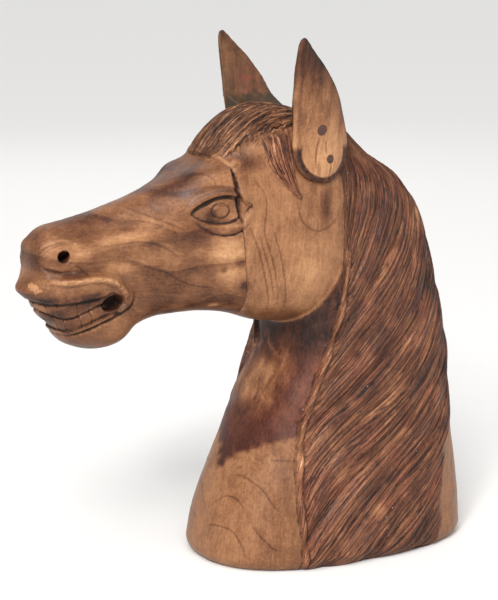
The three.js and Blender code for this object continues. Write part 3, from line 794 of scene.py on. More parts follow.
def carve(body):
    """The finer strokes of the carving."""
    points, normals = read(body)
    x, y, z = points.T
    side = np.sign(y)
    lift = 0.5 * cloud(x / 26, y / 26, z / 22) + 0.22 * cloud(x / 8 + 5, y / 8, z / 8)

    climb, behind = mane_place(points, side)
    strand = mane_strand(points, climb)
    bald = worn(x, z, strand_ends(strand, side))
    hair = smooth(behind, -3, 5) * (1 - bald) * smooth(z, -5, 8)
    deep = 0.8 + 0.3 * cloud(strand * 0.31, climb / 3, 2.5)
    fades = smooth(cloud(strand * 0.9, climb / 2.5, 12.5), -0.6, 0.3)
    combed = 2.7 * deep * fades * (comb(strand, 0.5) * (0.85 + 0.35 * chance(strand)) - 0.7)
    combed += 2.4 * (comb(strand / 3.3 + 0.4 * cloud(strand * 0.2, climb / 3, 6.5), 0.5) - 0.8)
    combed += 1.5 * (comb(strand * 2.2 + 0.5 * cloud(strand, climb / 2.5, 21.5), 0.7) - 0.6)
    combed += 1.2 * cloud(strand * 1.3, climb / 2.5, 31.5)
    lift += hair * combed
    lift -= 2.6 * edge_line(points, behind, OUTER_GROOVE)
    lift -= 3.0 * edge_line(points, behind, INNER_GROOVE)

    place, across = forelock_place(points)
    fringe = forelock_mask(points, normals, place, across, (-0.1, 0.25), (-0.02, 0.04))
    fringe = fringe * smooth(1 - place, 0, 0.1)
    wisp = forelock_strand(points, place, across)
    combed = 3.0 * (comb(wisp, 0.7) * (0.8 + 0.4 * chance(wisp, 3)) - 0.6) + 0.7 * comb(wisp * 2.4)
    lift += fringe * combed * (1 - hair)
    tress, falling, _ = tress_place(points, fringe)
    lift += tress * 3.0 * (comb(falling) * (0.85 + 0.3 * chance(falling, 5)) - 0.7)

    lift += stroke(points, LIP, 13, 1.5) * cloud(x / 5, y / 7, z / 2.5)
    for path, width, depth, _, _ in GROOVES:
        lift -= stroke(points, path, width, depth)
    lift -= stroke(points, EYE_CORNER, 4, 2.0) * (np.abs(y) > EYE_SIDE)
    ring, eye = eye_rings(points)
    lift -= eye * 2.4 * np.exp(-((ring - 1) / 0.15) ** 2)
    turn, bite, ajar = bite_place(points)
    lift -= ajar * 4.2 * np.clip(1 - np.abs(z - bite) / 3.2, 0, 1)
    lift -= 3.4 * np.clip(1 - np.abs(beside(points, TEETH_FOOT, 6)[0]) / 4.0, 0, 1)
    for aside, row in tooth_gaps(points, turn, bite):
        lift -= ajar * row * 1.7 * np.exp(-(aside / 1.5) ** 2)
    aside, half = wedge_place(points)
    lift -= 6 * np.clip(1 - aside / half, 0, 1) ** 0.7 * (np.abs(y) > CHEEK_SIDE)

    points += normals * (lift * smooth(z, *CALM_FOOT))[:, None]
    chipped = 8 * (0.55 + 0.6 * cloud(strand * 0.35, side, 3.5))
    chipped = np.clip(chipped * (1 - smooth(z, 4, 34)) * smooth(behind, 2, 14), 0, 12)
    points[:, 2] += chipped * smooth(normals[:, 2], -0.95, -0.7) * (1 - bald)
    write(body, grounded(points))


def split(bust):
    """Parts the bust along the glue line into its two blocks."""
    foot, head = GLUE_LINE[0][1], GLUE_LINE[-1][1]

    def ahead(gap):
        line = [(x - gap, z) for x, z in GLUE_LINE]
        return slab("ahead", [(-FACE_REACH, foot), *line, (-FACE_REACH, head)])

    face = copied(bust, "face_block_carved")
    combine(face, ahead(GLUE_GAP), "INTERSECT")
    bust.name = "neck_block_carved"
    combine(bust, ahead(0), "DIFFERENCE")
    return face, bust


def near_lines(points):
    """True for points beside the thin lines of the grain, which need a fine mesh."""
    near = np.zeros(len(points), bool)
    for path in CHEEK_LINES + NECK_LINES:
        near |= np.abs(beside(points, path, 5)[0]) < 5
    return near


def lighten(body):
    """Brings a mesh evenly under the number of triangles that a piece may have."""
    body.data.calc_loop_triangles()
    count = len(body.data.loop_triangles)
    if count <= MOST_TRIANGLES:
        return
    near = near_lines(read(body)[0])
    group = body.vertex_groups.new(name="even")
    for chosen, weight in ((~near, 0.6), (near, 0.0)):
        group.add(np.flatnonzero(chosen).tolist(), weight, "REPLACE")
    change = body.modifiers.new("lighten", "DECIMATE")
    change.ratio = MOST_TRIANGLES / count
    change.vertex_group, change.vertex_group_factor = group.name, EVENNESS
    bake(body)
    body.vertex_groups.clear()


# The ears and their dowels

EAR_LEVEL = by_height([
    (730, -95.5, -75.5),
    (734, -110.5, -65.5),
    (745.5, -130.5, -53.5),
    (762, -144.5, -40.5),
    (786, -151, -32),
    (815, -154, -34),
    (845, -156, -43),
    (864, -158, -50),
    (886, -159, -58),
    (911, -159, -71),
    (932, -160, -86),
    (954, -160, -103),
    (976, -160, -123),
    (990, -158.5, -135),
    (997, -156, -141),
    (1000, -152, -145.5),
])
EAR_TOP = 1000
EAR_FLARE = 0.168
EAR_TIP = 148
EAR_BULGE = 0.14
EAR_FOOT = (836, 886)
EAR_FOOT_THICKNESS = 56
EAR_HEEL = 16
EAR_HEEL_LEVELS = (730, 802)
EAR_EDGE = 4 * MM
EAR_THICKNESS = 9 * MM
EAR_SEAT = 0.4 * MM
DOWELS = ((-101, 831, 9 * MM, "upper"), (-79, 776, 7.5 * MM, "lower"))
DOWEL_GRIP = 24 * MM
DOWEL_FIT = 0.25 * MM
DOWEL_SINK = 0.025 * MM
# shares of the radius of a dowel's end, and how far each lies below the ear's face
DOWEL_END = [(0.98, 0.2 * MM), (0.9, DOWEL_SINK), (0.6, DOWEL_SINK), (0.3, DOWEL_SINK), (0.04, DOWEL_SINK)]


def ear_rings(side, arc=26, levels=90):
    z = np.linspace(EAR_HEEL_LEVELS[0], EAR_TOP, levels)
    _, leading, trailing = EAR_LEVEL(z).T
    leading, trailing = leading[:, None], trailing[:, None]
    height = z[:, None]
    breadth = trailing - leading
    heel = EAR_HEEL * (1 - smooth(height, *EAR_HEEL_LEVELS))
    base = EAR_TIP - EAR_FLARE * (EAR_TOP - height) + heel
    foot = 1 - smooth(height, *EAR_FOOT)
    share = np.linspace(0, 1, arc + 1)[None]
    across = 2 * share - 1
    bulge = EAR_BULGE * breadth * (1 - across ** 2)
    shell = EAR_EDGE + (EAR_THICKNESS - EAR_EDGE) * (1 - across ** 2)
    shell = shell * np.clip(breadth / 60, 0.3, 1)
    x = leading + breadth * share
    narrowed = x + (trailing - x) * 0.3 * foot
    height = np.broadcast_to(height, x.shape)
    outer = np.stack([x, side * (base + bulge), height], -1)
    deep = shell + (EAR_FOOT_THICKNESS - shell) * foot
    inner = np.stack([narrowed, side * (base + bulge - deep - heel), height], -1)
    return np.concatenate([outer, inner[:, ::-1]], 1)


def build_ear(side, seat):
    name = "ear_left" if side < 0 else "ear_right"
    ear = loft(name + "_carved", ear_rings(side))
    skin = skin_of(ear)
    combine(ear, seat, "DIFFERENCE", keep=True)
    remesh(ear, EAR_FINE)
    soften(ear, 4)
    points, normals = read(ear)
    x, y, z = points.T
    lift = 0.45 * cloud(x / 22, y / 22, z / 30) + 0.15 * cloud(x / 7, y / 7, z / 12)
    write(ear, points + normals * (lift * smooth(z, 845, 880))[:, None])
    combine(ear, seat, "DIFFERENCE", keep=True)
    dowels = []
    for x, z, diameter, place in DOWELS:
        face = struck(skin, x, z, side)[1]
        foot = np.array((x, face - side * (DOWEL_GRIP + EAR_THICKNESS), z))
        below = foot - (0, side * DOWEL_FIT, 0)
        hole = bar("hole", (x, face + side * BORE_START, z), below, diameter + 2 * DOWEL_FIT)
        combine(ear, hole, "DIFFERENCE", keep=True)
        dowels.append((f"{name}_dowel_{place}", foot, diameter, hole))
    return name, ear, skin, dowels


def dowel_piece(node, foot, diameter, side, skin):
    """A dowel whose end is cut nearly flush with the ear's outer face."""
    x, root, z = foot
    turn = 2 * math.pi * np.arange(48) / 48
    circle = np.stack([np.cos(turn), np.sin(turn)], -1) * diameter / 2
    rings = [[(px, root, pz) for px, pz in (x, z) + share * circle] for share in (0.02, 1)]
    for share, sink in DOWEL_END:
        places = (x, z) + share * circle
        rings.append([(px, struck(skin, px, pz, side)[1] - side * sink, pz) for px, pz in places])
    return loft(f"{node}_carved", np.array(rings))


# Colours of the wood, with painted shade and highlights among them: how dark or pale it is at each place,
# from -1 to 1, and how red

BLOTCHES = [
    # x, z, reach along x, reach along z, lean in degrees, tone, red
    # a pale pink patch on the nose ridge, partly pale wood and partly a painted highlight
    (-428, 664, 58, 17, 10, 0.36, 0.15),
    (-379, 560, 110, 38, -4, -0.34, 0.1),
    (-350, 744, 52, 20, 24, -0.32, 0.2),
    (-470, 702, 70, 12, 14, -0.16, 0.2),
    (-282, 606, 36, 60, 8, 0.52, -0.1),
    (-330, 640, 34, 22, 0, -0.12, 0.1),
    (-461, 606, 52, 14, 4, 0.30, 0.0),
    (-498, 650, 40, 16, 8, 0.20, 0.1),
    (-589, 632, 42, 26, 0, 0.30, -0.1),
    (-600, 665, 40, 10, 20, 0.05, 0.0),
    # pale along the upper lip, partly pale wood and partly a painted highlight
    (-566, 580, 66, 13, 0, 0.36, 0.1),
    (-530, 474, 80, 18, 8, 0.02, 0.1),
    (-257, 596, 9, 9, 0, -0.45, 0.0),
    (-284, 582, 5, 6, 0, -0.45, 0.0),
    (-242, 551, 9, 8, 0, -0.55, 0.1),
    (-285, 510, 10, 5, 0, 0.7, -0.2),
    (-255, 771, 16, 8, 30, 0.2, -0.35),
    (-232, 776, 30, 16, 0, -0.45, 0.15),
    (-310, 686, 10, 14, 0, -0.55, 0.1),
    (-296, 672, 30, 5, 0, -0.5, 0.0),
    (-82, 688, 13, 34, -6, -0.62, 0.1),
    (-181, 640, 70, 90, 0, 0.10, -0.1),
    (-110, 560, 60, 60, 0, 0.26, 0.0),
    (-205, 540, 30, 40, 0, 0.12, 0.0),
    (-150, 760, 50, 60, 0, 0.05, 0.2),
    (214, 318, 18, 46, 0, -0.5, 0.3),
]


def blotched(points, table):
    """Tone and red from soft spots with ragged edges, on both sides of the horse."""
    x, y, z = points.T
    ragged = 1 + 0.45 * cloud(x / 16, y / 40, z / 16) + 0.25 * cloud(x / 6, y / 20, z / 6 + 3)
    tone, red = np.zeros(len(points)), np.zeros(len(points))
    flank = smooth(np.abs(y), 18, 50)
    for at_x, at_z, wide, high, lean, change, redder in table:
        along, over = leaned(x - at_x, z - at_z, -math.radians(lean))
        spot = np.exp(-((along / wide) ** 2 + (over / high) ** 2) ** 1.5 * ragged) * flank
        tone += change * spot
        red += redder * spot
    return tone, red


# the golden streak in the stain on the neck: x, z, half its width, half its height, and its slant
GOLDEN = (-162, 345, 15, 52, 0.5)
# x, z and reach along both: the dark band round an ear's heel, and the pink stain inside the ear
EAR_BAND = (-91, 790, 60, 62)
EAR_FLUSH = (-105, 903, 22, 24)
# the lower edge of the dark stain on the neck
BAND = [(-330, 170), (-280, 178), (-239, 180), (-226, 207), (-208, 226), (-170, 244), (-143, 253),
        (-90, 262), (0, 270)]


def off_head(points):
    """From 0 on the skin of the head to 1 clear of it."""
    find = head_skin.find_nearest
    away = np.array([find(Vector(p))[3] for p in (points * UNIT).tolist()]) / UNIT
    return smooth(away, 1.2 * MM, 3 * MM) * (points[:, 2] < 600)


def face_colours(points, normals):
    """Tone, red and painted shade that only the face has."""
    x, y, z = points.T
    top = smooth(normals[:, 2], 0.35, 0.9)
    lipped = smooth(-x, 470, 500) * inside(points, MOUTH)
    # Painted shade: the face is darker, and a little redder, where it faces up, and darker where it faces
    # down.
    tone = -0.09 - 0.18 * top - 0.22 * smooth(-normals[:, 2], 0.1, 0.8) - 0.06 * lipped
    red = 0.15 * top + 0.1 * lipped
    # Painted shadow under the overhanging upper lip: a broad dark band, in patches, along the lip's edge.
    edge = beside(points, UPPER_LIP_EDGE, 20)[0]
    lip_shadow_patches = 0.55 + 0.45 * smooth(cloud(x / 9, y / 12, z / 7), -0.3, 0.3)
    tone -= 0.62 * np.exp(-((edge - 5) / 7) ** 2) * lip_shadow_patches
    # Painted highlight along the ridge of the lip, and painted shade in the groove above it.
    gleam = 0.55 + 0.7 * cloud(x / 5, y / 7, z / 2.5)
    tone += stroke(points, LIP, 12, 0.44) * gleam - stroke(points, ABOVE_LIP, 12, 0.3)
    ragged = 0.5 * cloud(x / 3, y / 3, z / 3)
    tone += 0.5 * smooth(stroke(points, LIP_CHIP, 15, 1) + ragged, 0.4, 0.6)
    tone -= stroke(points, MUZZLE_FRONT, 18, 0.35)
    for path in FACE_LINES:
        tone -= stroke(points, path, 5, 0.28) * (np.abs(y) > 12)

    # Painted shade: dark lines under the upper lip and along the foot of the teeth, in the carved grooves,
    # round the iris and in the hollow of the eye, along the bite, between the teeth, and in the holes.
    shade_and_grime = 0.9 * np.exp(-((edge + 3) / 4.2) ** 2)
    shade_and_grime += 0.9 * np.exp(-(beside(points, TEETH_FOOT, 11)[0] / 3.2) ** 2)
    for path, _, _, width, strength in GROOVES:
        shade_and_grime += stroke(points, path, width, strength)
    ring, eye = eye_rings(points)
    shade_and_grime += eye * (0.85 * np.exp(-((ring - 1) / 0.13) ** 2) + 0.35 * smooth(ring, 1.1, 1.8))
    turn, bite, ajar = bite_place(points)
    shade_and_grime += ajar * np.exp(-((z - bite) / 2.9) ** 2) * (0.8 + 0.4 * cloud(x / 6, z / 6, 1.5))
    for aside, row in tooth_gaps(points, turn, bite):
        shade_and_grime += ajar * row * 0.6 * np.exp(-(aside / 1.2) ** 2)
        # a painted highlight on one edge of each tooth, beside its gap
        tone += ajar * row * 0.75 * np.exp(-((aside - 1.5) / 1.6) ** 2 - ((z - bite) / 5) ** 2)
    return tone, red, shade_and_grime + shade_in_holes(points)


def neck_colours(points, normals, hair, strand, climb, behind):
    """Tone, red and painted shade that only the neck, the cheeks and the mane have."""
    x, y, z = points.T
    side, flank = np.sign(y), np.abs(y)
    bare = 1 - hair
    off = off_head(points)
    edge = np.interp(x + 5 * cloud(x / 14, y / 14, z / 20), *zip(*BAND))
    stained = smooth(z - edge + 3 * cloud(x / 9, y / 9, z / 9), -3, 3) * bare * off
    # painted shadow under the jaw, darkening the stain there
    under_jaw_shade = smooth(z, 370, 430) * stained
    at_x, at_z, wide, high, slope = GOLDEN
    slant = (x - at_x - slope * (z - at_z)) / wide
    golden = np.exp(-(slant ** 2 + ((z - at_z) / high) ** 2) ** 1.3)
    golden = golden * (0.75 + 0.6 * cloud(slant * 4, y / 9, z / 26))
    tone = 0.02 * bare * (1 - stained) * off - 0.5 * stained - 0.4 * under_jaw_shade
    tone -= 0.12 * stained * (1 - smooth(z, 200, 270))
    tone += stained * (0.62 * golden + 0.13 * smooth(flank, 50, 110) * (1 - under_jaw_shade))
    tone += stained * 0.2 * smooth(cloud(x / 7 + 2, y / 9, z / 60), 0.05, 0.5) * smooth(z, 260, 300)
    tone -= 0.16 * smooth(flank, 100, 150) * bare * (1 - stained) * smooth(-z, -240, -180)
    # Painted shade where the skin faces down under the jaw, and on the faces that look up at the top of the
    # head.
    tone -= 0.4 * smooth(-normals[:, 2], 0.5, 0.95) * (z > 400)
    tone -= 0.15 * smooth(normals[:, 2], 0.2, 0.7) * smooth(z, 780, 820)
    tone += stroke(points, THROAT_MARK, 8, 0.55) + stroke(points, FILLER, 7, 0.35)
    for path in CHEEK_LINES:
        tone -= stroke(points, path, 4, 0.36) * (flank > CHEEK_SIDE)
    for path in NECK_LINES:
        tone -= stroke(points, path, 4, 0.4)

    patches = 0.2 * cloud(x / 34 + 3, y / 50, z / 34)
    locks = 0.14 * cloud(strand * 0.3, climb / 3, side) + 0.16 * cloud(strand * 0.9, climb / 2.5, side)
    tone += hair * (-0.13 + locks + patches - 0.12 * smooth(z, 240, 500))
    tone -= 0.28 * hair * smooth(x, 150, 240) * smooth(z, 350, 480)
    # a painted highlight on the raised strip along the mane's front edge
    tone += 0.42 * hair * edge_line(points, behind, EDGE_STRIP)
    red = stained * 0.7 * (1 - golden) - 0.3 * under_jaw_shade
    red += hair * (0.45 + 0.2 * cloud(x / 26 + 7, y / 40, z / 26))
    # Painted shade in the corner of the eye and in the grooves along the mane's front edge.
    shade_and_grime = stroke(points, EYE_CORNER, 5, 0.8) * (flank > EYE_SIDE)
    shade_and_grime += 0.7 * edge_line(points, behind, OUTER_GROOVE)
    shade_and_grime += 0.7 * hair * edge_line(points, behind, INNER_GROOVE_SHADE)
    return tone, red, shade_and_grime


def head_values(points, normals, kind):
    """What the wood of the face or the neck reads at each point."""
    x, y, z = points.T
    side = np.sign(y)
    tone, red = blotched(points, BLOTCHES)
    climb, behind = mane_place(points, side)
    strand = mane_strand(points, climb)
    if kind == "neck":
        bald = worn(x, z, strand_ends(strand, side))
        hair = smooth(behind, -3, 4) * (1 - bald)
        own = neck_colours(points, normals, hair, strand, climb, behind)
        tone += 0.14 * bald
    else:
        hair = np.zeros(len(points))
        own = face_colours(points, normals)
    tone, red, shade_and_grime = tone + own[0], red + own[1], own[2]

    place, across = forelock_place(points)
    fringe = forelock_mask(points, normals, place, across, (-0.15, 0.15), (-0.04, 0.03)) * (1 - hair)
    tress, falling, _ = tress_place(points, fringe)
    wisp = np.where(tress > 0, falling, forelock_strand(points, place, across))
    lit = smooth(np.abs(across), 0.7, 1.0) * smooth(cloud(wisp * 1.5, x / 30, side), 0.0, 0.4)
    tone += fringe * (0.28 * lit - 0.22) - 0.12 * tress * (1 + 1.6 * cloud(falling * 0.8, z / 60, 2.5))
    red += 0.1 * fringe + 0.35 * tress

    # The dark glue joint, and painted shade inside the open wedge of the seam.
    seam = beside(points, GLUE_LINE, 9, 60)[0]
    shade_and_grime += 0.6 * np.exp(-(seam / 1.3) ** 2) * (z < 790)
    aside, half = wedge_place(points)
    wedge = smooth(1 - aside / (half * 1.25), 0, 0.6) * (np.abs(y) > CHEEK_SIDE)
    return {
        "tone": tone - 0.6 * wedge,
        "red": red,
        "shade_and_grime": np.clip(shade_and_grime + 0.45 * wedge, 0, 1.3),
        "hair": hair,
        "strand": strand,
        "fringe": np.clip(fringe + tress, 0, 1),
        "wisp": wisp,
        "flow": np.where(hair > 0.5, climb / 3, np.where(tress > 0, z / 60, x / 60)),
    }


def ear_values(points, normals):
    """What the wood of an ear reads at each point."""
    x, y, z = points.T
    side = np.sign(y)
    rise = z + 18 * cloud(x / 16, side * 3, z / 50)
    _, leading, trailing = EAR_LEVEL(z).T
    tone = 0.38 * (1 - smooth(rise, 790, 865)) - 0.04 - 0.76 * smooth(rise, 865, 985)
    # painted highlight on the ear's leading rim, and a painted shadow line just inside it
    tone += 0.2 * np.exp(-((x - leading - 4) / 3.5) ** 2)
    tone -= 0.2 * np.exp(-((x - leading - 11) / 2.8) ** 2)
    tone -= 0.4 * smooth(x - trailing, -7, 0) * smooth(z, 800, 840)
    for path in EAR_CRACKS:
        tone -= stroke(points, path, 4, 0.6)
    ragged = cloud(x / 9, side, z / 9)
    inner = smooth(-normals[:, 1] * side, 0.0, 0.4) * smooth(z, 820, 860)
    hollow = 0.14 * cloud(x / 10, side * 5, z / 22) - 0.28 * smooth(z + 20 * ragged, 930, 990) - 0.16
    heel = smooth(outward(x, z, EAR_BAND), 0.73, 0.79) * smooth(804 - z, 0, 14) * (1 - inner)
    flush = np.exp(-outward(x, z, EAR_FLUSH) ** 2) * smooth(ragged, -0.5, 0.2)
    moss = 1 - 0.55 * smooth(z + 12 * ragged, 862, 890) - 0.2 * smooth(z, 900, 960)
    return {
        "tone": tone * (1 - inner) + inner * hollow - 0.95 * heel,
        "red": 0,
        "shade_and_grime": np.clip(heel * (0.42 + 0.3 * cloud(x / 5, y / 5, z / 5)), 0, 1.3),
        "flush": inner * flush,
        "moss": inner * moss,
    }


def paint(body, kind):
    """Writes what the materials read at each point of a piece."""
    points, normals = read(body)
    values = ear_values(points, normals) if kind == "ear" else head_values(points, normals, kind)
    for name, value in values.items():
        layer = body.data.attributes.new(name, "FLOAT", "POINT")
        layer.data.foreach_set("value", np.broadcast_to(value, len(points)).astype(np.float32))


def shade_in_holes(points):
    """Painted shade inside the nostrils and the corners of the mouth."""
    x, y, z = points.T
    flank = np.abs(y)
    bore = outward(x, z, (*NOSTRIL, 1, 1))
    dark = smooth(NOSTRIL_BORE / 2 + 2.5 - bore, 0, 3) * smooth(NOSTRIL_RIM - flank, 0, 6)
    corner = outward(x, z, (*MOUTH_CORNER, 25, 16))
    # the mouth corner's bore is painted less dark on its lower inside, where light falls in
    corner_shade = 0.45 + 0.55 * smooth(z + 4 * cloud(x / 4, y / 4, z / 4), 528, 536)
    return dark + corner_shade * smooth(1.08 - corner, 0, 0.25) * smooth(MOUTH_CORNER_RIM - flank, 0, 4)


# Materials

def rgb(red, green, blue):
    """A colour from its screen values, as the shader wants it."""
    return tuple(c / 12.92 if c <= 0.04045 else ((c + 0.055) / 1.055) ** 2.4
                 for c in (red / 255, green / 255, blue / 255)) + (1.0,)


class Shader:
    """A material that is put together node by node."""

    def __init__(self, name):
        self.material = bpy.data.materials.new(name)
        self.material.use_nodes = True
        self.tree = self.material.node_tree
        self.surface = self.tree.nodes["Principled BSDF"]
        self.place = self.node("ShaderNodeTexCoord").outputs["Object"]

    def node(self, kind, inputs=None, **settings):
        made = self.tree.nodes.new(kind)
        for key, value in settings.items():
            setattr(made, key, value)
        for key, value in (inputs or {}).items():
            self.feed(made.inputs[key], value)
        return made

    def feed(self, socket, value):
        if isinstance(value, bpy.types.NodeSocket):
            self.tree.links.new(value, socket)
        else:
            socket.default_value = value

    def math(self, operation, a, b=0.0, c=0.0, clamped=False):
        made = self.node("ShaderNodeMath", {0: a, 1: b, 2: c}, operation=operation, use_clamp=clamped)
        return made.outputs[0]

    def total(self, first, *others):
        for other in others:
            first = self.math("ADD", first, other)
        return first

    def product(self, first, *others):
        for other in others:
            first = self.math("MULTIPLY", first, other)
        return first

    def xyz(self, **parts):
        return self.node("ShaderNodeCombineXYZ", parts).outputs[0]

    def reach(self, value, low, high, to_low=0.0, to_high=1.0):
        inputs = {"Value": value, "From Min": low, "From Max": high, "To Min": to_low, "To Max": to_high}
        return self.node("ShaderNodeMapRange", inputs, interpolation_type="SMOOTHSTEP").outputs[0]

    def attribute(self, name):
        return self.node("ShaderNodeAttribute", attribute_name=name).outputs["Fac"]

    def stretched(self, scale, turn=(0, 0, 0), place=None):
        sizes = tuple(1 / share for share in scale)
        inputs = {"Vector": place or self.place, "Rotation": turn, "Scale": sizes}
        return self.node("ShaderNodeMapping", inputs, vector_type="TEXTURE").outputs[0]

    def noise(self, scale, detail=2.0, roughness=0.5, place=None, warp=0.0):
        inputs = {"Vector": place or self.place, "Scale": scale, "Detail": detail, "Roughness": roughness,
                  "Distortion": warp}
        return self.node("ShaderNodeTexNoise", inputs).outputs["Fac"]

    def wavering(self, scale, strength, detail=2.0, roughness=0.5):
        """Soft noise from minus to plus a strength."""
        return self.reach(self.noise(scale, detail, roughness), 0.3, 0.7, -strength, strength)

    def mix(self, share, a, b, blend="MIX"):
        made = self.node("ShaderNodeMix", {0: share, 6: a, 7: b}, data_type="RGBA", blend_type=blend)
        return made.outputs[2]

    def ramp(self, value, stops):
        made = self.node("ShaderNodeValToRGB", {"Fac": value})
        made.color_ramp.elements.remove(made.color_ramp.elements[0])
        for i, (place, shade) in enumerate(stops):
            stop = made.color_ramp.elements[0] if i == 0 else made.color_ramp.elements.new(place)
            stop.position, stop.color = place, shade
        return made.outputs["Color"]

    def relief(self, height, strength, distance):
        inputs = {"Strength": strength, "Distance": distance, "Height": height}
        return self.node("ShaderNodeBump", inputs).outputs[0]

    def surfaced(self, inputs):
        """The material, with values or links for the sockets of its surface."""
        for name, value in inputs.items():
            self.feed(self.surface.inputs[name], value)
        return self.material


TONES = [
    (0.0, rgb(33, 17, 10)),
    (0.22, rgb(78, 45, 28)),
    (0.42, rgb(116, 75, 48)),
    (0.60, rgb(152, 106, 72)),
    (0.78, rgb(185, 138, 97)),
    (1.0, rgb(224, 183, 140)),
]


def growth(s, grain_turn, rings, figure, bend):
    """Late wood in rings, and a soft figure, both along the grain and bent a little."""
    cloudy = s.node("ShaderNodeTexNoise", {"Vector": s.place, "Scale": 11.0, "Detail": 1.0})
    inputs = {0: cloudy.outputs["Color"], 1: (bend, bend, bend), 2: s.place}
    bent = s.node("ShaderNodeVectorMath", inputs, operation="MULTIPLY_ADD").outputs[0]
    ring_scale, ring_strength = rings
    spot = s.stretched(ring_scale, grain_turn, bent)
    cycle = s.math("FRACT", s.node("ShaderNodeVectorMath", {0: spot}, operation="LENGTH").outputs["Value"])
    late = s.product(s.reach(cycle, 0.62, 0.95), s.reach(cycle, 1.0, 0.96))
    figure_scale, figure_strength = figure
    soft = s.noise(1.0, 3.0, 0.55, s.stretched(figure_scale, grain_turn, bent), 0.8)
    soft = s.reach(soft, 0.3, 0.7, -figure_strength, figure_strength)
    return s.math("SUBTRACT", soft, s.product(late, ring_strength))


# The attributes of the mask and of the strands, how fine the streaks are, and the tones of the groove,
# which is painted shade between the strands, of dark streaks and of pale ones.
HAIR_LOOKS = [
    ("hair", "strand", 3.0, -0.24, -0.22, 0.24),
    ("fringe", "wisp", 2.6, -0.22, -0.36, 0.38),
]


def combed_hair(s, value, height):
    """Tone and height with the strands of the mane, the forelock and the tresses on them."""
    flow = s.attribute("flow")
    for mask, count, finer, groove, dark, pale in HAIR_LOOKS:
        mask, number = s.attribute(mask), s.attribute(count)
        wave = s.math("ABSOLUTE", s.math("SINE", s.product(number, math.pi)))
        streak = s.noise(1.0, 4.0, 0.72, s.xyz(X=s.product(number, finer), Y=s.product(flow, 1.15)))
        cut = s.noise(1.0, 3.0, 0.6, s.xyz(X=s.product(number, 1.9), Y=flow, Z=5.0))
        cut = s.reach(s.math("ABSOLUTE", s.math("SUBTRACT", cut, 0.5)), 0.0, 0.036)
        # the thin cut lines are darkened as painted shade in them
        line = s.total(s.reach(wave, 0.0, 0.5, groove, 0.0), s.reach(streak, 0.28, 0.72, dark, pale),
                       s.math("MULTIPLY_ADD", cut, 0.28, -0.28))
        value = s.total(value, s.product(mask, line))
        rise = s.total(s.product(wave, 0.5), s.product(streak, 3.0), s.product(cut, 1.4))
        height = s.total(height, s.product(mask, rise))
    return value, height


def wood(name, grain_turn, rings, figure, bend, red_shade):
    """Oiled wood with growth lines, fibres and stains."""
    s = Shader(name)
    on_ear = name == "ear_wood"
    fibre = s.noise(1.0, 4.0, 0.65, s.stretched((60, 520, 520), grain_turn))
    mottle = s.noise(60.0, 4.0, 0.6)
    grown = growth(s, grain_turn, rings, figure, bend)
    if not on_ear:
        bare = s.math("SUBTRACT", s.math("SUBTRACT", 1.0, s.attribute("hair")), s.attribute("fringe"))
        grown = s.product(grown, s.math("MAXIMUM", bare, 0.0))
    value = s.total(s.math("MULTIPLY_ADD", s.attribute("tone"), 0.5, 0.5), grown,
                    s.reach(fibre, 0.3, 0.7, -0.045, 0.045), s.reach(mottle, 0.3, 0.7, -0.05, 0.05),
                    s.wavering(420.0, 0.035))
    height = s.product(fibre, 0.5)
    if not on_ear:
        value, height = combed_hair(s, value, height)
    shade = s.ramp(s.math("ADD", value, 0.0, clamped=True), TONES)
    shade = s.mix(s.reach(s.attribute("red"), 0.0, 1.0, 0.0, 0.75), shade, red_shade, "MULTIPLY")
    # Painted shade of grooves, holes and gaps, the dark glue joint and the dark band round the ears' heels
    # darken the colour.
    shade_and_grime = s.total(s.attribute("shade_and_grime"), s.wavering(140.0, 0.15, 3.0))
    shade = s.mix(s.reach(shade_and_grime, 0.25, 0.95, 0.0, 0.93), shade, rgb(30, 17, 13))
    if on_ear:
        speckle = s.reach(s.noise(150.0, 3.0, 0.7), 0.36, 0.6, 0.25, 0.85)
        shade = s.mix(s.product(s.attribute("flush"), speckle), shade, rgb(160, 74, 66))
        shade = s.mix(s.product(s.attribute("moss"), 0.85), shade, rgb(46, 42, 32))
    else:
        dots = s.reach(s.noise(520.0, 1.0), 0.74, 0.8)
        dusty = s.reach(s.noise(26.0, 1.0), 0.56, 0.66)
        shade = s.mix(s.product(dots, dusty, s.attribute("hair")), shade, rgb(214, 200, 186))
    dull = s.total(s.reach(mottle, 0.3, 0.7, 0.34, 0.52), s.reach(shade_and_grime, 0.2, 0.8, 0.0, 0.4))
    return s.surfaced({"Base Color": shade, "Roughness": dull, "Specular IOR Level": 0.26,
                       "Normal": s.relief(height, 0.5, 0.0007)})


def end_grain():
    """Dark wood cut across, with rings and pores."""
    s = Shader("dowel_end_grain")
    inputs = {"Vector": s.place, "Scale": 260.0, "Distortion": 3.0, "Detail": 2.0}
    rings = s.node("ShaderNodeTexWave", inputs, wave_type="RINGS", rings_direction="Y").outputs["Fac"]
    pores = s.noise(1500.0, 3.0)
    value = s.total(s.product(rings, 0.35), s.product(pores, 0.65))
    shade = s.ramp(value, [(0.2, rgb(38, 22, 17)), (0.8, rgb(92, 58, 44))])
    return s.surfaced({"Base Color": shade, "Roughness": 0.6, "Normal": s.relief(pores, 0.4, 0.0005)})


def finish_piece(body, node, material):
    mesh = body.data
    mesh.materials.clear()
    mesh.materials.append(material)
    mesh.polygons.foreach_set("material_index", np.zeros(len(mesh.polygons), np.int32))
    mesh.polygons.foreach_set("use_smooth", np.ones(len(mesh.polygons), bool))
    mesh.update()
    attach(body, "root")
    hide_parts(node)


# Building the pieces

bust, head_skin = build_bust()
carve(bust)
seat = copied(bust, "seat")
points, normals = read(seat)
write(seat, points + normals * EAR_SEAT)
ears = [build_ear(side, seat) for side in SIDES]
remove(seat)
for _, _, _, dowels in ears:
    for _, _, _, hole in dowels:
        combine(bust, hole, "DIFFERENCE")
face_block, neck_block = split(bust)

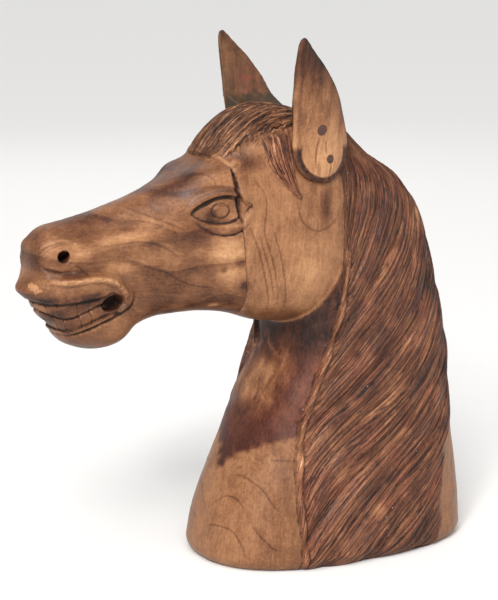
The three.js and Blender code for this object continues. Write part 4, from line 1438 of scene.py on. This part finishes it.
# Each wood has the turn of its grain, the scale and strength of its rings and of its figure, how far both
# are bent, and the shade of its red parts.
face_wood = wood("face_wood", (0.05, 0.12, 0.08), ((8, 22, 30), 0.13), ((12, 30, 34), 0.10), 0.055,
                 rgb(210, 150, 140))
neck_wood = wood("neck_wood", (0.05, -1.52, 0.08), ((7, 26, 44), 0.03), ((9, 46, 46), 0.04), 0.022,
                 rgb(206, 142, 172))
ear_wood = wood("ear_wood", (0.05, -1.54, 0.1), ((12, 60, 90), 0.06), ((16, 90, 120), 0.05), 0.012,
                rgb(200, 140, 120))
dark_wood = end_grain()

lighten(neck_block)
lighten(face_block)
paint(face_block, "face")
paint(neck_block, "neck")
finish_piece(face_block, "face_block", face_wood)
finish_piece(neck_block, "neck_block", neck_wood)
for side, (name, ear, skin, dowels) in zip(SIDES, ears):
    lighten(ear)
    paint(ear, "ear")
    finish_piece(ear, name, ear_wood)
    for node, foot, diameter, _ in dowels:
        finish_piece(dowel_piece(node, foot, diameter, side, skin), node, dark_wood)


# Floor, light and camera

def placed(name, data, way, place=(0, 0, 0)):
    """Puts a lamp or a camera at a place, looking along a way."""
    made = bpy.data.objects.new(name, data)
    bpy.context.scene.collection.objects.link(made)
    made.location = place
    made.rotation_mode = "QUATERNION"
    made.rotation_quaternion = Vector(way).to_track_quat("-Z", "Y")
    return made


def light(name, place, size, power_watts):
    """A round lamp that looks at the middle of the head."""
    lamp = bpy.data.lights.new(name, "AREA")
    lamp.shape, lamp.size, lamp.energy = "DISK", size, power_watts
    placed(name, lamp, MIDDLE - Vector(place), place)


def floor():
    mesh = bpy.data.meshes.new("floor")
    corners = [(x * FLOOR_REACH, y * FLOOR_REACH, 0) for x, y in ((-1, -1), (1, -1), (1, 1), (-1, 1))]
    mesh.from_pydata(corners, [], [(0, 1, 2, 3)])
    made = bpy.data.objects.new("floor", mesh)
    bpy.context.scene.collection.objects.link(made)
    coat = Shader("floor_paint").surfaced({"Base Color": rgb(236, 235, 233), "Roughness": 0.8})
    mesh.materials.append(coat)


MIDDLE = Vector((-0.0845, 0, 0.239))
FLOOR_REACH = 40.0
floor()
light("key", (-1.9, -1.9, 2.4), 1.2, 55)
light("glint", (-1.6, -1.4, 1.5), 0.3, 16)
light("fill", (1.9, -2.0, 1.0), 2.2, 10)
light("rear", (0.8, 2.4, 1.8), 2.0, 7)
sun = bpy.data.lights.new("sun", "SUN")
sun.energy, sun.angle = 1.6, math.radians(50)
placed("sun", sun, (0.35, 0.45, -0.82))

world = bpy.data.worlds.new("studio")
world.use_nodes = True
paper = world.node_tree.nodes["Background"]
paper.inputs["Color"].default_value = (1, 1, 1, 1)
seen = world.node_tree.nodes.new("ShaderNodeLightPath").outputs["Is Camera Ray"]
brightness = world.node_tree.nodes.new("ShaderNodeMapRange")
brightness.inputs["To Min"].default_value = 0.5
brightness.inputs["To Max"].default_value = 1.0
world.node_tree.links.new(seen, brightness.inputs["Value"])
world.node_tree.links.new(brightness.outputs[0], paper.inputs["Strength"])
bpy.context.scene.world = world
bpy.context.scene.view_settings.view_transform = "Standard"

# the camera stands ahead of the head's left side, a little above it
AZIMUTH, ELEVATION, DISTANCE = math.radians(31), math.radians(12), 1.627
FOCAL_LENGTH = 106.67
SENSOR_HEIGHT = 36
level = math.cos(ELEVATION)
back = Vector((-math.sin(AZIMUTH) * level, -math.cos(AZIMUTH) * level, math.sin(ELEVATION)))
lens = bpy.data.cameras.new("camera")
lens.sensor_fit = "VERTICAL"
lens.sensor_height = SENSOR_HEIGHT
lens.lens = FOCAL_LENGTH
bpy.context.scene.camera = placed("camera", lens, -back, MIDDLE + back * DISTANCE)
